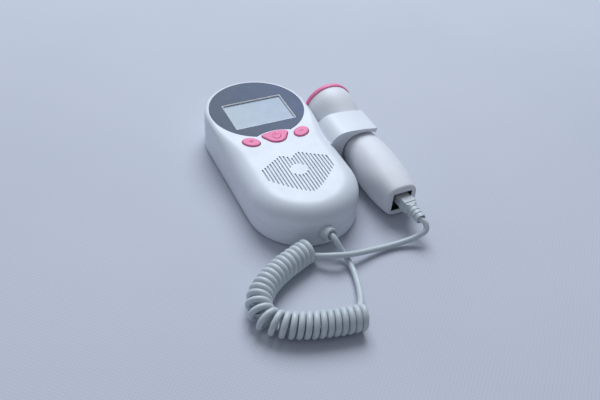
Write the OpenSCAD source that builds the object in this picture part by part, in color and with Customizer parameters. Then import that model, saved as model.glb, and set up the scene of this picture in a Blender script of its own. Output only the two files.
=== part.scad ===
// Fetal doppler monitor with its probe clipped to the side and a curly cord.
// +Y is the screen end, -Y the cord end, +X the probe side, +Z up.
// The monitor lies on its back at z = 0, centred on the origin.

/* [Case] */
// Length of the case, screen end to cord end
body_l = 135; // [132:1:142]
// Width of the case
body_w = 65; // [64:0.5:70]
// Height of the case
body_h = 26.5; // [26:0.5:30]
// Height of the seam between the rear and front shells
split_z = 11; // [10.5:0.5:12]
// Wall thickness of the two shells
wall = 2.2; // [1.8:0.1:2.6]
// Thickness of the front face
face_t = 2.4; // [2.2:0.1:2.8]
// Edge rounding beside the screen
screen_blend = 2.6; // [2:0.2:2.8]
// Edge rounding beside the loudspeaker and round the cord end
cord_blend = 10.5; // [8:0.5:12]
// Rounding under the base
base_round = 1; // [0.6:0.2:1.4]

/* [Screen] */
// Width of the white rim round the dark panel
panel_rim = 2.9; // [2.9:0.1:4]
// Thickness of the dark panel
panel_t = 0.5; // [0.3:0.1:0.8]
// Distance of the display window's sides from the panel's edge
window_side = 9.8; // [9.2:0.1:12]
// Height of the display window
window_h = 27.4; // [24:0.2:28]
// Distance of the window's middle from the panel's middle, towards the buttons
window_drop = 3.5; // [3:0.1:4]

/* [Buttons] */
// Distance of the buttons' middle from the panel's middle
button_drop = 32; // [31:0.5:34]
// Distance of each volume button's middle from the centre line
volume_x = 16.4; // [16:0.1:17]
// Half length of a volume button
volume_a = 5.5; // [5:0.1:5.6]
// Half width of a volume button
volume_b = 3.9; // [3.5:0.1:4]
// Tilt of the volume buttons
volume_tilt = 30; // [20:1:40]
// Radius of the arc along the top of the power button
power_arc_r = 23.4; // [22:0.2:24]
// How far the buttons stand proud of the face
button_proud = 1; // [0.6:0.1:1.4]
// How far a button travels
button_travel = 0.6; // [0.4:0.1:0.8]
// Play round each button
button_gap = 0.3; // [0.2:0.05:0.4]

/* [Loudspeaker] */
// Distance between two slots of the grille
slot_pitch = 2; // [1.9:0.05:2]
// Width of one slot
slot_w = 0.9; // [0.7:0.05:1]
// Radius of the plain disc in the middle of the grille
grille_disc_r = 4.1; // [3.5:0.1:4.5]
// Radius of the loudspeaker
speaker_r = 18; // [16:0.5:18.5]

/* [Battery] */
// Diameter of a battery cell
cell_d = 14.5; // [14:0.1:14.5]
// Length of a battery cell
cell_l = 50.5; // [49:0.1:50.5]

/* [Probe] */
// Room between the case's side and the probe's head
head_gap = 1.3; // [1:0.1:3]
// Height of the head's underside above the table
head_lift = 0.12; // [0.1:0.02:1]
// Upward tilt of the probe towards its head
probe_tilt = 2.9; // [2.7:0.1:3.1]
// Half width of the grip at its widest
grip_a = 12.7; // [12:0.1:12.7]
// Half width of the grip at its waist
waist_a = 11.6; // [10.8:0.1:11.8]
// Radius of the head
head_r = 16.6; // [16:0.1:16.6]
// Turn of the probe away from the case at its cord end
probe_yaw = 1.1; // [0.9:0.1:1.2]
// Wall of the probe's two shells
probe_wall = 1.8; // [1.4:0.1:2.2]
// Width of the opening for the plug
socket_w = 12.4; // [11.6:0.1:13]
// Height of the opening for the plug
socket_h = 13.1; // [12:0.1:13.4]

/* [Clip] */
// Near end of the probe clip
clip_y0 = -12; // [-14:0.5:-12]
// Length of the probe clip
clip_l = 20.5; // [18:0.5:20.5]
// Thickness of the clip over the probe
clip_t = 3; // [2.6:0.1:3.2]
// Play between the clip and the widest part of the grip
clip_gap = 0.3; // [0.25:0.05:0.4]

/* [Cord] */
// Diameter of the cord
cord_d = 3.3; // [3:0.1:3.3]
// Outer diameter of the coiled stretch
coil_d = 14.2; // [13.8:0.1:14.2]

/* [Hidden] */

eps = 0.01;
end_r = body_w / 2;                 // both ends of the case are half circles
end_y = body_l / 2 - end_r;         // their centres lie at +end_y and -end_y
arc_steps = 18;                     // facets of each half circle
side_steps = 8;                     // facets of each straight side
blend_steps = 6;                    // facets of the rounding over the edge
fit_gap = 0.3;                      // air between a part and what it stands beside

white = "#E9EEF3";
pink = "#F080B0";
grey = "#B9C1C6";

// ---------------------------------------------------------------- outline of the case

// Smooth step from 0 to 1
function ease(t) = let (u = min(max(t, 0), 1)) u * u * (3 - 2 * u);

// Rounding radius over the edge at length y: tight by the screen, soft by the loudspeaker
function blend_at(y) = screen_blend + (cord_blend - screen_blend) * ease((end_y - 7 - y) / 36);

// Stations round the case, anticlockwise: a point on the outline and its outward normal
function station_arc(a, yc) = [[end_r * cos(a), yc + end_r * sin(a)], [cos(a), sin(a)]];
stations = concat(
    [for (i = [0 : arc_steps]) station_arc(180 * i / arc_steps, end_y)],
    [for (i = [1 : side_steps - 1]) [[-end_r, end_y - 2 * end_y * i / side_steps], [-1, 0]]],
    [for (i = [0 : arc_steps]) station_arc(180 + 180 * i / arc_steps, -end_y)],
    [for (i = [1 : side_steps - 1]) [[end_r, -end_y + 2 * end_y * i / side_steps], [1, 0]]]);

// Outline of the case moved inwards by inset
function outline(inset) = [for (s = stations) s[0] - s[1] * inset];

// One ring of the case wall at height z
function wall_ring(z, inset) = [for (s = stations) let (p = s[0] - s[1] * inset) [p[0], p[1], z]];

// One ring of the edge rounding, at angle a of the quarter circle, for a skin inset by t and
// a top face that is top_t lower
function blend_ring(a, t, top_t) = [for (s = stations) let (
    r = max(blend_at(s[0][1]) - t, 0.6),
    p = s[0] - s[1] * (t + r * (1 - cos(a))))
    [p[0], p[1], body_h - top_t - r + r * sin(a)]];

// Solid skin through rings of equal length, each anticlockwise seen from the last ring
module skin(rings) {
    n = len(rings[0]);
    m = len(rings);
    sides = [for (j = [0 : m - 2]) for (i = [0 : n - 1]) let (k = (i + 1) % n)
        each [[j * n + i, (j + 1) * n + i, (j + 1) * n + k], [j * n + i, (j + 1) * n + k, j * n + k]]];
    low_cap = [for (i = [0 : n - 1]) i];
    high_cap = [for (i = [n - 1 : -1 : 0]) (m - 1) * n + i];
    polyhedron(points = [for (r = rings) each r], faces = concat(sides, [low_cap, high_cap]));
}

// The case's whole outer form
module case_form() {
    skin(concat([wall_ring(0, base_round), wall_ring(base_round * 0.3, base_round * 0.3),
        wall_ring(base_round, 0)], [for (i = [0 : blend_steps]) blend_ring(90 * i / blend_steps, 0, 0)]));
}

// The room inside the front shell
module front_room() {
    intersection() {
        skin(concat([wall_ring(split_z - 1, wall)], [for (i = [0 : 4]) blend_ring(22.5 * i, wall, face_t - 0.02)]));
        translate([-body_w, -body_l, 0]) cube([2 * body_w, 2 * body_l, body_h - face_t]);
    }
}

// The form through the middle of the walls, which trims what is joined to their inside
module wall_middle() {
    skin(concat([wall_ring(0, wall / 2)],
        [for (i = [0 : 4]) blend_ring(22.5 * i, wall / 2, face_t / 2)]));
}

// The part of the case's form between two heights
module case_slice(z0, z1) {
    intersection() {
        case_form();
        translate([-body_w, -body_l, z0]) cube([2 * body_w, 2 * body_l, z1 - z0]);
    }
}

// ---------------------------------------------------------------- screen, buttons and grille

face_z = body_h - face_t;                 // underside of the front face
panel_y = end_y;                          // the round panel is concentric with the screen end
panel_r = end_r - panel_rim;
window_w = 2 * (panel_r - window_side);
window_y = panel_y - window_drop;
button_y = panel_y - button_drop;         // middle of the two volume buttons
power_rise = 5.8;                         // top of the power button above that line
power_arc_y = button_y + power_rise - power_arc_r;
panel_cut_gap = 1.2;                      // white strip between the panel and the power button
lens_play = 0.15;                         // air round the panel in its recess

// Outline of the dark panel, moved inwards by inset: a disc cut by an arc at the power button
module panel_shape(inset) {
    difference() {
        translate([0, panel_y]) circle(r = panel_r - inset, $fn = 120);
        translate([0, power_arc_y]) circle(r = power_arc_r + panel_cut_gap + inset, $fn = 120);
    }
}

module window_shape(grow) {
    translate([-window_w / 2 - grow, window_y - window_h / 2 - grow])
        square([window_w + 2 * grow, window_h + 2 * grow]);
}

power_corner_x = 6.3;
power_corner_r = 2.2;
power_tip_y = button_y - 2.6;
power_tip_r = 3.4;

// Outline of the power button: a rounded triangle whose top edge is an arc
function arc_points(cx, cy, r, a0, a1, n) = [for (i = [0 : n]) let (a = a0 + (a1 - a0) * i / n)
    [cx + r * cos(a), cy + r * sin(a)]];
power_corner_y = power_arc_y + sqrt(pow(power_arc_r - power_corner_r, 2) - pow(power_corner_x, 2));
power_top_a = atan2(power_corner_y - power_arc_y, power_corner_x);
power_side_a = atan2(power_corner_y - power_tip_y, power_corner_x);
power_side_l = norm([power_corner_x, power_corner_y - power_tip_y]);
power_side_n = power_side_a - 90 - asin((power_corner_r - power_tip_r) / power_side_l);
function power_outline(grow) = concat(
    arc_points(0, power_arc_y, power_arc_r + grow, power_top_a, 180 - power_top_a, 8),
    arc_points(-power_corner_x, power_corner_y, power_corner_r + grow,
        180 - power_top_a + 12, 180 - power_side_n - 12, 5),
    arc_points(0, power_tip_y, power_tip_r + grow, 180 - power_side_n, 360 + power_side_n, 6),
    arc_points(power_corner_x, power_corner_y, power_corner_r + grow,
        power_side_n + 12, power_top_a - 12, 5));

function volume_outline(grow) = [for (i = [0 : 35]) let (a = i * 10)
    [(volume_a + grow) * cos(a), (volume_b + grow) * sin(a)]];

// Places a volume button: side is 1 on the probe side and -1 on the other
module at_volume(side) {
    translate([side * volume_x, button_y]) rotate(side * volume_tilt) children();
}

grille_y = (button_y - body_l / 2) / 2 + 2.85;   // the plain disc, midway to the cord end
grille_tip_y = grille_y - 20.7;
grille_lobe_y = grille_y + 14.7;
grille_notch_x = 6;                       // half width and depth of the notch between the lobes
grille_notch_y = 4;
grille_half_w = 20.5;

// Upper and lower ends of the heart at distance x from the centre line
function heart_top(x) = let (u = abs(x))
    u > grille_notch_x ? grille_lobe_y - 0.6 * (u - grille_notch_x) :
    grille_lobe_y - grille_notch_y * pow((grille_notch_x - u) / grille_notch_x, 1.5);
function heart_low(x) = grille_tip_y + 0.25 * pow(abs(x), 1.4);

slot_count = floor(grille_half_w / slot_pitch);

// Slots that run along the case, trimmed to a heart, with a plain disc left in the middle
module grille_slots() {
    difference() {
        for (i = [-slot_count : slot_count]) {
            x = i * slot_pitch;
            translate([x - slot_w / 2, heart_low(x)]) square([slot_w, heart_top(x) - heart_low(x)]);
        }
        translate([0, grille_y]) circle(r = grille_disc_r, $fn = 48);
    }
}

// ---------------------------------------------------------------- inside of the case

bay_gap = 0.4;
bay_half_w = cell_d + bay_gap + 0.1;
bay_l = cell_l + 4.3;
bay_h = cell_d + 0.6;
bay_t = 1.3;
bay_corner_in = 2.9;                      // the bay's corners, from the case's outline
bay_y0 = bay_t - end_y - sqrt(pow(end_r - bay_corner_in, 2) - pow(bay_half_w + bay_t, 2));
cover_t = 1.5;
cover_z = 0.3;
cover_half_w = bay_half_w + 2.6;
cover_y0 = bay_y0 - 0.6;
cover_l = bay_l + 2;
cover_play = 0.3;
bay_floor = cover_z + cover_t + 0.2;      // cells lie just above the closed cover
bay_roof = bay_floor + bay_h + bay_t;

boss_r = 3.2;                             // screw bosses
screw_hole_r = 1.1;
lcd_w = window_w + 4.4;
lcd_l = window_h + 3.6;
lcd_glass_t = 2;
bezel_t = 1.4;
bezel_half_w = lcd_w / 2 + 0.1 + bezel_t;
bezel_half_l = lcd_l / 2 + 0.1 + bezel_t;
screw_in = 6.35;                          // upper screws, from the case's outline
screw_y = window_y + bezel_half_l + boss_r + 1.3;    // and beyond the display's frame
screw_x = sqrt(pow(end_r - screw_in, 2) - pow(screw_y - end_y, 2));
low_screw_x = cover_half_w + 4.8;         // lower screws, beside the battery cover
low_screw_y = -end_y - 11;
screw_xy = [[screw_x, screw_y], [-screw_x, screw_y], [low_screw_x, low_screw_y], [-low_screw_x, low_screw_y]];
pcb_t = 1.2;
pcb_top = bay_roof + 0.2 + pcb_t;         // the board passes over the battery bay
post_r = 2.3;
post_low_y = window_y - bezel_half_l - post_r - 0.8;
post_high_y = window_y + bezel_half_l + post_r + fit_gap;
pcb_post_xy = [[lcd_w / 2, post_low_y], [-lcd_w / 2, post_low_y], [8, post_high_y]];
jack_x = -8;
jack_z = 15.5;
jack_r = 1.8;                             // bore for a 3.5 mm plug
jack_nose_r = 3;
speaker_y = grille_y - 0.6;
gland_z = 10.5;
gland_neck_r = 3;

// ---------------------------------------------------------------- probe and clip

probe_end = -61;                          // end with the plug opening
grip_y = -30;                             // the grip's widest place
waist_y = -6;                             // its narrowest
head_start = 34;                          // where the pink ring begins
probe_x = end_r + head_r + head_gap;      // the axis at the middle of the clip
probe_z = head_r + head_lift - head_start * sin(probe_tilt);

// Places a piece given in the probe's own frame: y along its axis, towards the head
module at_probe() { translate([probe_x, 0, probe_z]) rotate([probe_tilt, 0, probe_yaw]) children(); }

end_a = 9.4;                              // half width at the plug end

// Half width of the probe at distance y along its axis
function probe_a(y) =
    y < grip_y ? end_a + (grip_a - end_a) * sin(90 * (y - probe_end) / (grip_y - probe_end)) :
    y < waist_y ? grip_a + (waist_a - grip_a) * ease((y - grip_y) / (waist_y - grip_y)) :
    waist_a + (head_r - waist_a) * ease((y - waist_y - 4) / (head_start - waist_y - 2));

// Half height over half width, and squareness of the section
function probe_aspect(y) = 1 + 0.08 * ease((grip_y - y) / 30);
function probe_square(y) = 2.9 - 0.5 * ease((y - probe_end - 6) / (grip_y - probe_end - 6))
    - 0.4 * ease((y - waist_y) / 24);

// Section of the probe as a rounded square, n points, inset by t
function probe_ring(y, t, n) = [for (i = [0 : n - 1]) let (
    a = -360 * i / n,
    e = 2 / probe_square(y),
    w = probe_a(y) - t,
    x = w * sign(cos(a)) * pow(abs(cos(a)), e),
    z = w * probe_aspect(y) * sign(sin(a)) * pow(abs(sin(a)), e))
    [x, y, z]];

// Stations along the probe: a small step in from the end, then even steps over each stretch
function steps(a, b, n) = [for (i = [0 : n - 1]) a + (b - a) * i / n];
probe_stations = concat([probe_end, probe_end + 0.6], steps(probe_end + 4, grip_y, 4),
    steps(grip_y, waist_y, 3), steps(waist_y, head_start, 5), [head_start]);
hollow_stations = concat(steps(probe_end + 4, grip_y, 3), steps(grip_y, waist_y, 2),
    steps(waist_y, head_start, 4), [head_start, head_start + 1]);
probe_skin_n = 40;

module probe_form() {
    skin([for (y = probe_stations) probe_ring(y, y == probe_end ? 0.7 : 0, probe_skin_n)]);
}
module probe_hollow() {
    skin([for (y = hollow_stations) let (at = min(y, head_start))
        probe_ring(at, probe_wall, 24) + [for (i = [0 : 23]) [0, y - at, 0]]]);
}

// Section of the clip's bore: the widest section of the grip with play
function bore_ring(grow) = [for (i = [0 : 39]) let (
    a = 360 * i / 40,
    e = 2 / probe_square(grip_y),
    w = grip_a + clip_gap + grow)
    [w * sign(cos(a)) * pow(abs(cos(a)), e), w * sign(sin(a)) * pow(abs(sin(a)), e)]];

module clip_bore() {
    at_probe() translate([0, clip_y0 + clip_l + 5, 0]) rotate([90, 0, 0])
        linear_extrude(height = clip_l + 10) polygon(bore_ring(0));
}

clip_top = probe_z + grip_a + clip_gap + clip_t - 0.6;      // crown of the clip
clip_tip_x = probe_x + 10.2;
clip_crown_x = body_w / 2 + 6;
clip_arc_r = 10.9;
clip_back_a = 152;                        // where the arc over the strap meets the case
clip_base = 0.4;
clip_lip_x = probe_x - 5.5;

// Outer profile of the clip across the case
module clip_profile() {
    polygon(concat(
        [[body_w / 2 - 8, clip_base], [clip_lip_x, clip_base], [clip_lip_x + 0.8, clip_base + 0.8],
         [clip_lip_x + 0.8, probe_z], [clip_tip_x - 1.6, probe_z],
         [clip_tip_x - 0.9, clip_top - 5.4], [clip_tip_x, clip_top - 2.4],
         [clip_tip_x - 0.4, clip_top - 1.9]],
        arc_points(clip_crown_x, clip_top - clip_arc_r, clip_arc_r, 90, clip_back_a, 8),
        [[body_w / 2 - 8, clip_top - clip_arc_r]]));
}

// The clip stands against the case's side and follows the rounding over its edge
module probe_clip() {
    color(white) difference() {
        translate([0, clip_y0 + clip_l, 0]) rotate([90, 0, 0])
            linear_extrude(height = clip_l) clip_profile();
        case_form();
        clip_bore();
    }
}

// ---------------------------------------------------------------- shells

module front_shell() {
    color(white) difference() {
        union() {
            difference() {
                case_slice(split_z, body_h + 5);
                front_room();
            }
            intersection() {
                for (p = screw_xy) translate([p[0], p[1], split_z])
                    cylinder(r = boss_r, h = face_z - split_z + 0.2, $fn = 32);
                wall_middle();
            }
            for (p = pcb_post_xy) translate([p[0], p[1], pcb_top])
                cylinder(r = post_r, h = face_z - pcb_top + 0.2, $fn = 32);
            translate([0, speaker_y, face_z - 3]) difference() {
                cylinder(r = speaker_r + fit_gap + 1.2, h = 3.2, $fn = 96);
                translate([0, 0, -1]) cylinder(r = speaker_r + fit_gap, h = 5, $fn = 96);
            }
        }
        translate([0, 0, body_h - panel_t]) linear_extrude(height = 2) panel_shape(-lens_play);
        translate([0, 0, face_z - 1]) linear_extrude(height = 5) window_shape(0);
        translate([0, 0, face_z - 0.1]) linear_extrude(height = 5) polygon(power_outline(button_gap));
        for (side = [-1, 1]) translate([0, 0, face_z - 0.1]) linear_extrude(height = 5)
            at_volume(side) polygon(volume_outline(button_gap));
        translate([0, 0, face_z - 0.1]) linear_extrude(height = 5) grille_slots();
        for (p = screw_xy) translate([p[0], p[1], split_z - 1])
            cylinder(r = screw_hole_r, h = 9, $fn = 24);
        for (p = pcb_post_xy) translate([p[0], p[1], pcb_top - 1])
            cylinder(r = screw_hole_r, h = 4.5, $fn = 24);
        translate([jack_x, body_l / 2 + 2, jack_z]) rotate([90, 0, 0])
            cylinder(r = jack_nose_r + 0.2, h = 12, $fn = 32);
        translate([0, -body_l / 2 + 8, gland_z]) rotate([90, 0, 0])
            cylinder(r = gland_neck_r, h = 12, $fn = 32);
    }
}

lip_h = 1.2;

module lip_shape(play) {
    difference() {
        polygon(outline(wall + play));
        polygon(outline(wall + 1.15));
        for (p = screw_xy) translate(p) circle(r = boss_r + fit_gap, $fn = 32);
        translate([-6, -body_l / 2]) square([12, 8]);
    }
}

module rear_shell() {
    color(white) difference() {
        union() {
            difference() {
                case_slice(-5, split_z);
                translate([0, 0, wall]) linear_extrude(height = split_z) polygon(outline(wall));
            }
            // locating lip that stands inside the front shell, open at the bosses and the gland
            translate([0, 0, split_z - 1.5]) linear_extrude(height = 1.5) lip_shape(-0.3);
            translate([0, 0, split_z - eps]) linear_extrude(height = lip_h + eps) lip_shape(0.15);
            for (p = screw_xy) translate([p[0], p[1], 1])
                cylinder(r = boss_r, h = split_z - 1, $fn = 32);
            translate([-bay_half_w - bay_t, bay_y0 - bay_t, 1])
                cube([2 * (bay_half_w + bay_t), bay_l + 2 * bay_t, bay_roof - 1]);
        }
        translate([-bay_half_w, bay_y0, -1]) cube([2 * bay_half_w, bay_l, bay_floor + bay_h + 1]);
        translate([-cover_half_w - cover_play, cover_y0 - cover_play, -1])
            cube([2 * (cover_half_w + cover_play), cover_l + 2 * cover_play, cover_z + cover_t + 1.1]);
        for (p = screw_xy) {
            translate([p[0], p[1], -1]) cylinder(r = screw_hole_r + 0.3, h = split_z + 3, $fn = 24);
            translate([p[0], p[1], -1]) cylinder(r = 2.3, h = 4, $fn = 24);
        }
        translate([0, -body_l / 2 + 8, gland_z]) rotate([90, 0, 0])
            cylinder(r = gland_neck_r, h = 12, $fn = 32);
    }
}

// ---------------------------------------------------------------- screen parts

module face_panel() {
    color("#4A5468") translate([0, 0, body_h - panel_t]) linear_extrude(height = panel_t) difference() {
        panel_shape(0);
        window_shape(0);
    }
}
module lcd_glass() {
    color("#B9C9D9") translate([-lcd_w / 2, window_y - lcd_l / 2, face_z - lcd_glass_t])
        cube([lcd_w, lcd_l, lcd_glass_t]);
}
module lcd_backlight() {
    color("#F2F2EE") translate([-lcd_w / 2, window_y - lcd_l / 2, pcb_top])
        cube([lcd_w, lcd_l, face_z - lcd_glass_t - pcb_top]);
}
module lcd_bezel() {
    color("#3A3D42") translate([0, window_y, pcb_top]) linear_extrude(height = face_z - pcb_top - 0.3)
        difference() {
            square([2 * bezel_half_w, 2 * bezel_half_l], center = true);
            square([lcd_w + 0.2, lcd_l + 0.2], center = true);
        }
}

// ---------------------------------------------------------------- board and switches

switch_w = 6;
switch_h = 2.4;
stem_r = 1.7;
flange_t = 1;
flange_grow = 0.9;
board_half_w = end_r - 4.3;
board_y0 = button_y - 4.7;
board_y1 = post_high_y + 3;

module main_pcb() {
    color("#2E6B45") translate([0, 0, pcb_top - pcb_t]) linear_extrude(height = pcb_t) difference() {
        intersection() {
            polygon(outline(wall + 1.4));
            translate([-board_half_w, board_y0]) square([2 * board_half_w, board_y1 - board_y0]);
        }
        for (p = screw_xy) translate(p) circle(r = boss_r + fit_gap, $fn = 32);
        for (p = pcb_post_xy) translate(p) circle(r = screw_hole_r + 0.15, $fn = 24);
    }
}

module at_switches() {
    translate([0, button_y, pcb_top]) children();
    for (side = [-1, 1]) translate([side * volume_x, button_y, pcb_top]) children();
}
module tact_switches() {
    color("#26282B") at_switches() difference() {
        translate([-switch_w / 2, -switch_w / 2, 0]) cube([switch_w, switch_w, switch_h]);
        translate([0, 0, switch_h - 1.8]) cylinder(r = stem_r + 0.1, h = 3, $fn = 32);
    }
}

// The stem stands in its switch and reaches the button's flange
module switch_stem(x) {
    color("#1C1D1F") translate([x, button_y, pcb_top + switch_h - 1])
        cylinder(r = stem_r, h = face_z - flange_t - pcb_top - switch_h + 1, $fn = 32);
}
module power_switch_stem() { switch_stem(0); }
module volume_up_stem() { switch_stem(-volume_x); }
module volume_down_stem() { switch_stem(volume_x); }

// A cap with a flange that rests under the face, and a rounded top edge in three steps
module cap_layers() {
    crown = body_h + button_proud;
    translate([0, 0, face_z - flange_t]) linear_extrude(height = flange_t) children(2);
    translate([0, 0, face_z - flange_t]) linear_extrude(height = crown - 0.45 - face_z + flange_t)
        children(0);
    translate([0, 0, crown - 0.45 - eps]) linear_extrude(height = 0.45 + eps) children(1);
}
module volume_button(side) {
    color(pink) cap_layers() {
        at_volume(side) polygon(volume_outline(0));
        at_volume(side) polygon(volume_outline(-0.45));
        at_volume(side) polygon(volume_outline(flange_grow));
    }
}
module power_button() {
    color(pink) cap_layers() {
        polygon(power_outline(0));
        polygon(power_outline(-0.45));
        polygon(power_outline(flange_grow));
    }
}
module volume_up_button() { volume_button(-1); }
module volume_down_button() { volume_button(1); }

// ---------------------------------------------------------------- loudspeaker

speaker_h = 3.6;
magnet_r = 9;

module speaker_frame() {
    color("#5B5F63") translate([0, speaker_y, face_z - speaker_h]) rotate_extrude($fn = 96)
        polygon([[magnet_r - 1.5, 0], [magnet_r + 1.5, 0], [speaker_r - 2.2, speaker_h - 1.2],
            [speaker_r, speaker_h - 1.2], [speaker_r, speaker_h], [speaker_r - 2.6, speaker_h],
            [speaker_r - 2.6, speaker_h - 0.6], [magnet_r + 0.9, 0.6], [magnet_r - 1.5, 0.6]]);
}
module speaker_cone() {
    color("#2B2C2E") translate([0, speaker_y, face_z - speaker_h]) rotate_extrude($fn = 96)
        polygon([[0, 1.9], [5, 1.5], [6, 1], [8, 1], [speaker_r - 5, speaker_h - 1.5],
            [speaker_r - 2.7, speaker_h - 0.5], [speaker_r - 2.7, speaker_h - 0.2],
            [speaker_r - 5, speaker_h - 1.2], [8, 1.4], [6.2, 1.4], [5.2, 1.9], [0, 2.3]]);
}
module speaker_magnet() {
    color("#8E9296") translate([0, speaker_y, face_z - speaker_h - 1.6])
        cylinder(r = magnet_r, h = 1.6, $fn = 64);
}

// ---------------------------------------------------------------- battery parts

cell_z = bay_floor + 0.2 + cell_d / 2;
cell_y0 = bay_y0 + (bay_l - cell_l) / 2;

module battery_cover() {
    color(white) {
        difference() {
            union() {
                translate([-cover_half_w, cover_y0, cover_z])
                    cube([2 * cover_half_w, cover_l - cover_t / 2, cover_t]);
                // round edge on which the cover turns
                translate([-cover_half_w, cover_y0 + cover_l - cover_t / 2, cover_z + cover_t / 2])
                    rotate([0, 90, 0]) cylinder(d = cover_t, h = 2 * cover_half_w, $fn = 32);
            }
            // finger ridges beside the latch
            for (i = [0 : 4]) translate([-8, cover_y0 + 4 + 2 * i, cover_z - 0.1]) cube([16, 0.8, 0.4]);
        }
    }
}

module cell() {
    rotate([-90, 0, 0]) {
        cylinder(d = cell_d, h = cell_l - 1, $fn = 48);
        cylinder(r = 2.7, h = cell_l, $fn = 24);
    }
}
module batteries() {
    color("#3F4A54") {
        translate([-cell_d / 2 - 0.2, cell_y0, cell_z]) cell();
        translate([cell_d / 2 + 0.2, cell_y0 + cell_l, cell_z]) rotate(180) cell();
    }
}

plate_w = 10;                             // contact plates behind the springs and buttons
plate_t = 0.4;
block_w = 4;                              // blocks that carry the plates at the cells' buttons
block_h = 6;
wire_r = 0.35;

// A conical spring as a tube along a widening helix
spring_turns = 3;
spring_steps = 30;
module cone_spring(h, r0, r1) {
    w = wire_r;
    skin([for (i = [0 : spring_steps]) let (
        t = i / spring_steps,
        a = 360 * spring_turns * t,
        r = r0 + (r1 - r0) * t,
        c = [r * cos(a), r * sin(a), w + (h - 2 * w) * t])
        [for (k = [0 : 5]) let (b = -60 * k)
            c + w * cos(b) * [cos(a), sin(a), 0] + w * sin(b) * [0, 0, 1]]]);
}
module contact_spring(gap) {
    translate([-plate_w / 2, -plate_w / 2, 0]) cube([plate_w, plate_w, plate_t]);
    translate([0, 0, plate_t - 0.05]) cone_spring(gap - plate_t, plate_w / 2 - 0.4, cell_d / 6);
}
module battery_springs() {
    gap = cell_y0 - bay_y0;
    color("#C8CCD0") {
        translate([-cell_d / 2 - 0.2, bay_y0, cell_z]) rotate([-90, 0, 0]) contact_spring(gap);
        translate([cell_d / 2 + 0.2, bay_y0 + bay_l, cell_z]) rotate([90, 0, 0]) contact_spring(gap);
    }
}
// A plate on its block, from the bay's end at y = 0 back to the cell
module button_plate(gap) {
    translate([-plate_w / 2, -gap, -plate_w / 2]) cube([plate_w, plate_t, plate_w]);
    translate([-block_w / 2, plate_t - gap, -block_h / 2]) cube([block_w, gap - plate_t, block_h]);
}
module battery_plates() {
    color("#C8CCD0") {
        translate([-cell_d / 2 - 0.2, bay_y0 + bay_l, cell_z]) button_plate(cell_y0 - bay_y0);
        translate([cell_d / 2 + 0.2, bay_y0, cell_z]) rotate(180) button_plate(cell_y0 - bay_y0);
    }
}

// ---------------------------------------------------------------- jack and screws

jack_l = 12;
jack_front = body_l / 2 - wall - 2.5;
module headphone_jack() {
    color("#202225") difference() {
        union() {
            translate([jack_x, jack_front, jack_z]) rotate([90, 0, 0])
                translate([-3.6, -3, 0]) cube([7.2, pcb_top - pcb_t - jack_z + 3, jack_l]);
            translate([jack_x, body_l / 2 - 1.4, jack_z]) rotate([90, 0, 0])
                cylinder(r = jack_nose_r, h = body_l / 2 - jack_front, $fn = 32);
        }
        translate([jack_x, body_l / 2, jack_z]) rotate([90, 0, 0])
            cylinder(r = jack_r, h = jack_l + 2, $fn = 32);
    }
}
module case_screws() {
    color("#9DA2A6") for (p = screw_xy) translate([p[0], p[1], 1.4]) {
        cylinder(r = 2, h = 1.6, $fn = 32);
        cylinder(r = screw_hole_r - 0.02, h = split_z + 4, $fn = 24);
    }
}
module pcb_screws() {
    color("#9DA2A6") for (p = pcb_post_xy) translate([p[0], p[1], pcb_top - pcb_t - 1.3]) {
        cylinder(r = 1.9, h = 1.3, $fn = 32);
        cylinder(r = screw_hole_r - 0.02, h = 5.4, $fn = 24);
    }
}

// ---------------------------------------------------------------- cord

gland_root = -body_l / 2;
gland_l = 5.4;
gland_pitch = 14;
gland_yaw = 14;
cord_r = cord_d / 2;
coil_r = coil_d / 2;

// Route of the lead from the gland to the far end of the coil
lead_route = [[1.1, -72, 11.6], [1.7, -74.3, 12], [2.7, -77.2, 10.7], [4.1, -80, 7.9],
    [5.7, -83.7, 4.5], [5.4, -88.6, 3.4], [4.4, -93.5, 4.3], [3.4, -98.4, 5.1],
    [2.1, -103.3, 5.9], [0.6, -108, 7], [-1.1, -112.7, 8.2], [-2.9, -117.1, 9.9],
    [-5.4, -121.3, 11.5], [-9, -124.6, 12.6]];
// Middle line of the coiled stretch
coil_route = [[-12.8, -73.7, 7.1], [-19.3, -76, 7.1], [-26.3, -78.9, 7.1], [-33.2, -82.1, 7.1],
    [-39.8, -86, 7.1], [-45.6, -90.3, 7.1], [-50.3, -95.3, 7.1], [-53.4, -101.1, 7.1], [-53.8,
    -107.2, 7.1], [-51.4, -112.7, 7.1], [-46.8, -116.9, 7.1], [-40.5, -120.1, 7.1], [-33.2, -122.7,
    7.1], [-25.2, -124.7, 7.1], [-16.8, -126.2, 7.1], [-7.8, -127.3, 7.1]];
// Route of the tail from the near end of the coil to the plug
tail_route = [[-11, -78.6, 5.8], [-6.3, -80.3, 5.9], [-1.9, -82.5, 6.7], [2.5, -84.7, 7.8],
    [7.4, -85.5, 7.6], [11.6, -84.5, 5.3], [15.7, -82.6, 3], [20.4, -81.5, 1.8],
    [25.3, -82.2, 1.7], [30.3, -82.2, 1.7], [35.2, -82.8, 2.5], [40, -83.8, 3.5],
    [44.9, -84.8, 4.3], [48.8, -87.1, 6.3], [52.5, -86.7, 9.5], [53.7, -83, 12.3],
    [53, -78.5, 12.7]];

// Round tube along a route, with flat ends square to it
function unit(v) = v / norm(v);
function heading(path, i) = unit(path[min(i + 1, len(path) - 1)] - path[max(i - 1, 0)]);
function tube_ring(c, d, r, n) = let (
    side = unit(cross(d, abs(d[2]) > 0.9 ? [1, 0, 0] : [0, 0, 1])), up = cross(side, d))
    [for (i = [0 : n - 1]) let (a = -360 * i / n) c + r * cos(a) * side + r * sin(a) * up];
module tube(path, r, n) {
    skin([for (i = [0 : len(path) - 1]) tube_ring(path[i], heading(path, i), r, n)]);
}

module at_gland() { translate([0, gland_root, gland_z]) rotate([90 - gland_pitch, 0, gland_yaw]) children(); }

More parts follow.
